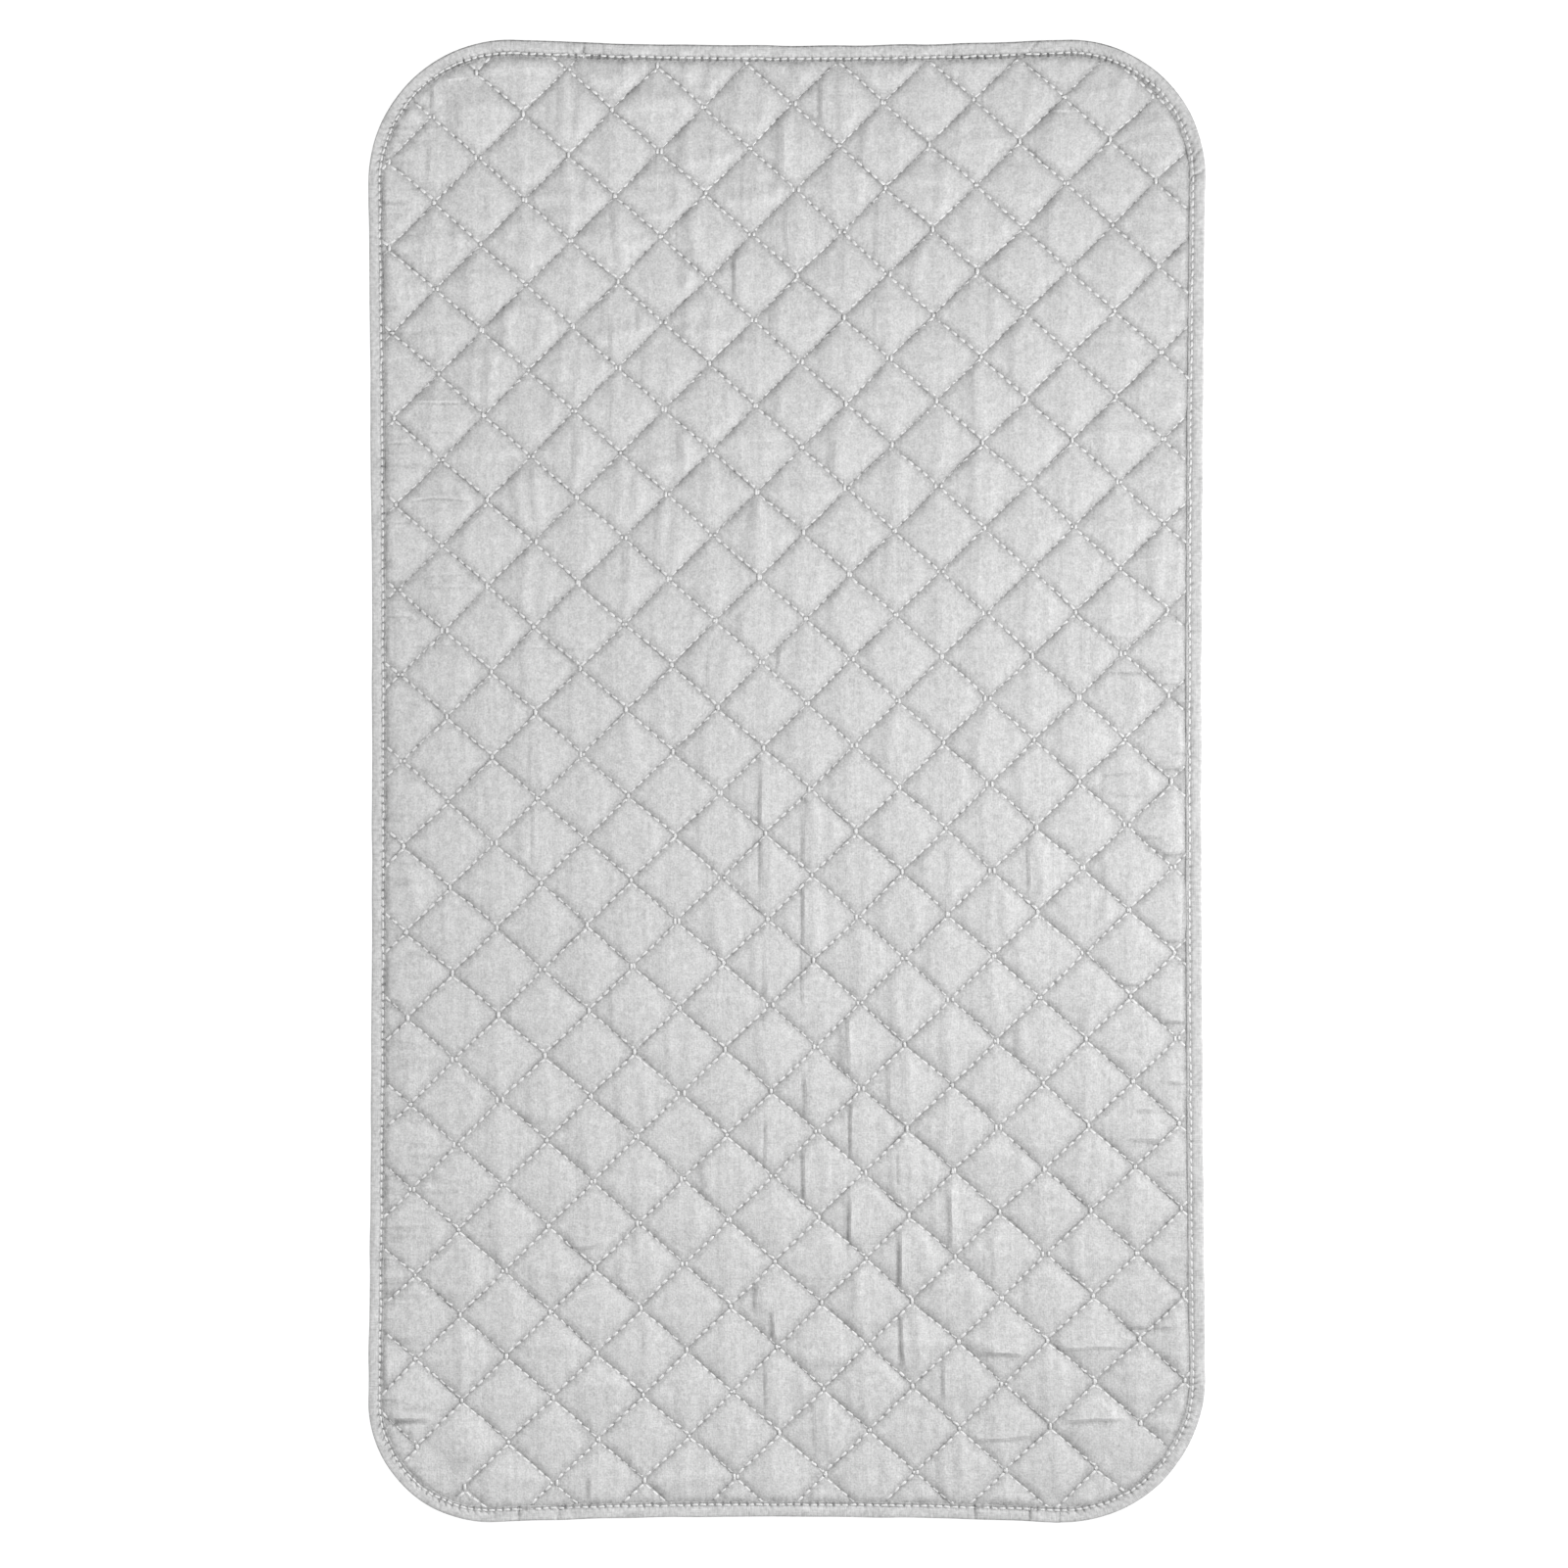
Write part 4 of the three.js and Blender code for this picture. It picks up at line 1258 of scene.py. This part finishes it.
def tape_fabric(pitch):
    material, tree = new_material("grey binding tape")
    uv = add_node(tree, "ShaderNodeUVMap", uv_map="tape").outputs["UV"]
    ribs = grain(tree, uv, (1500, 140, 1), seed=2.2)
    yarn = grain(tree, uv, (150, 1500, 1), seed=8.4)
    clouds = grain(tree, uv, (60, 120, 1), seed=3.3)
    mottle = grain(tree, uv, (500, 400, 1), seed=6.5, detail=3.0)
    along = add_node(tree, "ShaderNodeSeparateXYZ", {"Vector": uv}).outputs["X"]
    past = maths(tree, "PINGPONG", along, pitch / 2)
    # Painted shade in the seam's needle holes and along the seam, scaled by the tape's painted shade values
    hole = ramp(tree, past, HOLE_RADIUS, HOLE_BLUR * HOLE_RADIUS, TAPE_HOLE_SHADE, 0.0)
    dark = maths(tree, "MULTIPLY", mesh_value(tree, "seam"), maths(tree, "ADD", hole, TAPE_SEAM_SHADE))
    tone = summed(tree, [(ribs, 0.30), (yarn, 0.26), (clouds, 0.45), (mottle, 0.85), (dark, -1.0)])
    relief = summed(tree, [(ribs, 1.0), (yarn, 0.7)], start=0.0)
    rough = summed(tree, [(yarn, 0.15)], start=0.75)
    finish_surface(tree, TAPE_GREY, tone, relief, rough, depth=0.0003, specular=0.25)
    return material


def sewing_thread():
    material, tree = new_material("light grey spun thread")
    fibres = grain(tree, place_on(tree), (2200, 2200, 2200), seed=1.9)
    lengths = grain(tree, place_on(tree), (25, 25, 25), seed=4.4)
    tone = summed(tree, [(fibres, 0.22), (lengths, 0.08)])
    rough = summed(tree, [(fibres, 0.2)], start=0.6)
    finish_surface(tree, THREAD_GREY, tone, fibres, rough, depth=0.0002, sheen=0.1)
    return material


def fleece():
    material, tree = new_material("white batting")
    tufts = grain(tree, place_on(tree), (420, 420, 420), seed=2.8, detail=4.0)
    tone = summed(tree, [(tufts, 0.2)])
    rough = summed(tree, [(tufts, 0.1)], start=0.95)
    finish_surface(tree, FLEECE_GREY, tone, tufts, rough, depth=0.0008)
    return material


def plated_magnet():
    material, tree = new_material("plated steel")
    scratches = grain(tree, place_on(tree), (300, 2400, 300), seed=3.6)
    tone = summed(tree, [(scratches, 0.1)])
    rough = summed(tree, [(scratches, 0.3)], start=0.32)
    finish_surface(tree, MAGNET_GREY, tone, scratches, rough, depth=0.00005, metallic=1.0)
    return material


# Stage, light and camera

VIEW_WIDTH = 0.8988
VIEW_MIDDLE = (-0.00168, -0.00168)
LENS = 100
SENSOR = 36
# A wide floor just under the pad: grey as it lights the pad, grey and glow where it is seen
FLOOR_HALF = 3.0
FLOOR_LEVEL = -0.0004
FLOOR_GREY = 0.8
SEEN_FLOOR_GREY = 0.45
SEEN_FLOOR_GLOW = 0.80
WORLD_LIGHT = 0.602
WHITE = (1, 1, 1, 1)


def area_light(name, place, aim, size, power, spread=180):
    light = bpy.data.lights.new(name, "AREA")
    light.energy = power
    light.size = size
    light.spread = math.radians(spread)
    lamp = new_object(name, light)
    way = np.array(aim) - np.array(place)
    lamp.location = place
    lamp.rotation_euler = (
        math.acos(-way[2] / np.linalg.norm(way)), 0, math.atan2(way[1], way[0]) - math.pi / 2,
    )


def make_lamps():
    """A low key lamp at the right, and two weaker lamps for each end of the pad."""
    area_light("key", place=(0.81, 0, 0.43), aim=(0, 0, 0), size=0.25, power=3.15)
    for end in (-1, 1):
        place, aim = (0.93, 0.86 * end, 0.96), (-0.46, -end, 0)
        area_light("end key", place, aim, size=0.3, power=1.22, spread=41.3)
        place, aim = (-0.13, 2.43 * end, 1.46), (-0.59, -0.91 * end, 0)
        area_light("end fill", place, aim, size=0.3, power=0.66, spread=28.0)


def as_seen(tree, lighting, seen):
    """One shader for light that falls on the pad, and another for what the camera or a shiny surface sees."""
    path = add_node(tree, "ShaderNodeLightPath").outputs
    shiny = maths(tree, "MAXIMUM", path["Is Glossy Ray"], path["Is Transmission Ray"])
    directly = maths(tree, "MAXIMUM", path["Is Camera Ray"], shiny)
    return add_node(tree, "ShaderNodeMixShader", {0: directly, 1: lighting, 2: seen}).outputs[0]


def make_stage():
    signs = ((-1, -1), (1, -1), (1, 1), (-1, 1))
    corners = [(x * FLOOR_HALF, y * FLOOR_HALF, FLOOR_LEVEL) for x, y in signs]
    floor = new_piece("studio_floor", corners, [(0, 1, 2, 3)])
    material, tree = new_material("pale studio floor")
    tree.nodes.remove(tree.nodes["Principled BSDF"])
    plain, dim = (
        add_node(tree, "ShaderNodeBsdfDiffuse", {"Color": (grey, grey, grey, 1)}).outputs[0]
        for grey in (FLOOR_GREY, SEEN_FLOOR_GREY)
    )
    glow = add_node(tree, "ShaderNodeEmission", {"Color": WHITE, "Strength": SEEN_FLOOR_GLOW}).outputs[0]
    lifted = add_node(tree, "ShaderNodeAddShader", {0: dim, 1: glow}).outputs[0]
    tree.links.new(as_seen(tree, plain, lifted), tree.nodes["Material Output"].inputs["Surface"])
    floor.data.materials.append(material)


def make_world():
    world = bpy.data.worlds.new("studio")
    bpy.context.scene.world = world
    world.use_nodes = True
    tree = world.node_tree
    soft = tree.nodes["Background"]
    soft.inputs["Color"].default_value = WHITE
    soft.inputs["Strength"].default_value = WORLD_LIGHT
    white = add_node(tree, "ShaderNodeBackground", {"Color": WHITE, "Strength": 1.0})
    mixed = as_seen(tree, soft.outputs[0], white.outputs[0])
    tree.links.new(mixed, tree.nodes["World Output"].inputs["Surface"])


def make_camera():
    lens = bpy.data.cameras.new("camera")
    lens.lens = LENS
    lens.sensor_width = SENSOR
    camera = new_object("camera", lens)
    camera.location = (*VIEW_MIDDLE, FACE_SEWN + VIEW_WIDTH * LENS / SENSOR)
    bpy.context.scene.camera = camera


# The pad

sewing = stitches_along_edges()
thread = sewing_thread()
face, face_grid = make_face_cloth()
backing, backing_grid = make_backing_cloth()
batting = make_batting(face_grid, backing_grid)
binding, edge = make_edge_binding()
needle = quilting_stitches("quilting_needle_stitches", face_grid, 1, thread)
bobbin = quilting_stitches("quilting_bobbin_stitches", backing_grid, -1, thread)
seam_top = seam_stitches("binding_seam_needle_stitches", edge, SEAM_TOP, 1, thread, SEAM_TOP_THREAD)
seam_under = seam_stitches("binding_seam_bobbin_stitches", edge, SEAM_UNDER, -1, thread, SEAM_UNDER_THREAD)

face.data.materials.append(face_fabric())
backing.data.materials.append(backing_fabric())
batting.data.materials.append(fleece())
binding.data.materials.append(tape_fabric(seam_pitch(edge)))

magnet_finish = plated_magnet()
for name in magnets:
    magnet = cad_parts[name]
    magnet.data.materials.clear()
    magnet.data.materials.append(magnet_finish)

quilting_rows = range(1, 18)
stands_for = (
    (face, "face_fabric", ["face_cloth"]),
    (backing, "backing_fabric", ["backing_cloth"]),
    (batting, "fleece", ["batting"]),
    (binding, "tape_fabric", ["edge_binding"]),
    (needle, "sewing_thread", [f"needle_thread_{row:02d}" for row in quilting_rows]),
    (bobbin, "sewing_thread", [f"bobbin_thread_{row:02d}" for row in quilting_rows]),
    (seam_top, "sewing_thread", ["binding_seam_needle_thread"]),
    (seam_under, "sewing_thread", ["binding_seam_bobbin_thread"]),
)
for piece, slot, nodes in stands_for:
    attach(piece, "root")
    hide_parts(*nodes)

make_stage()
make_world()
make_lamps()
make_camera()
bpy.context.scene.view_settings.view_transform = "Standard"
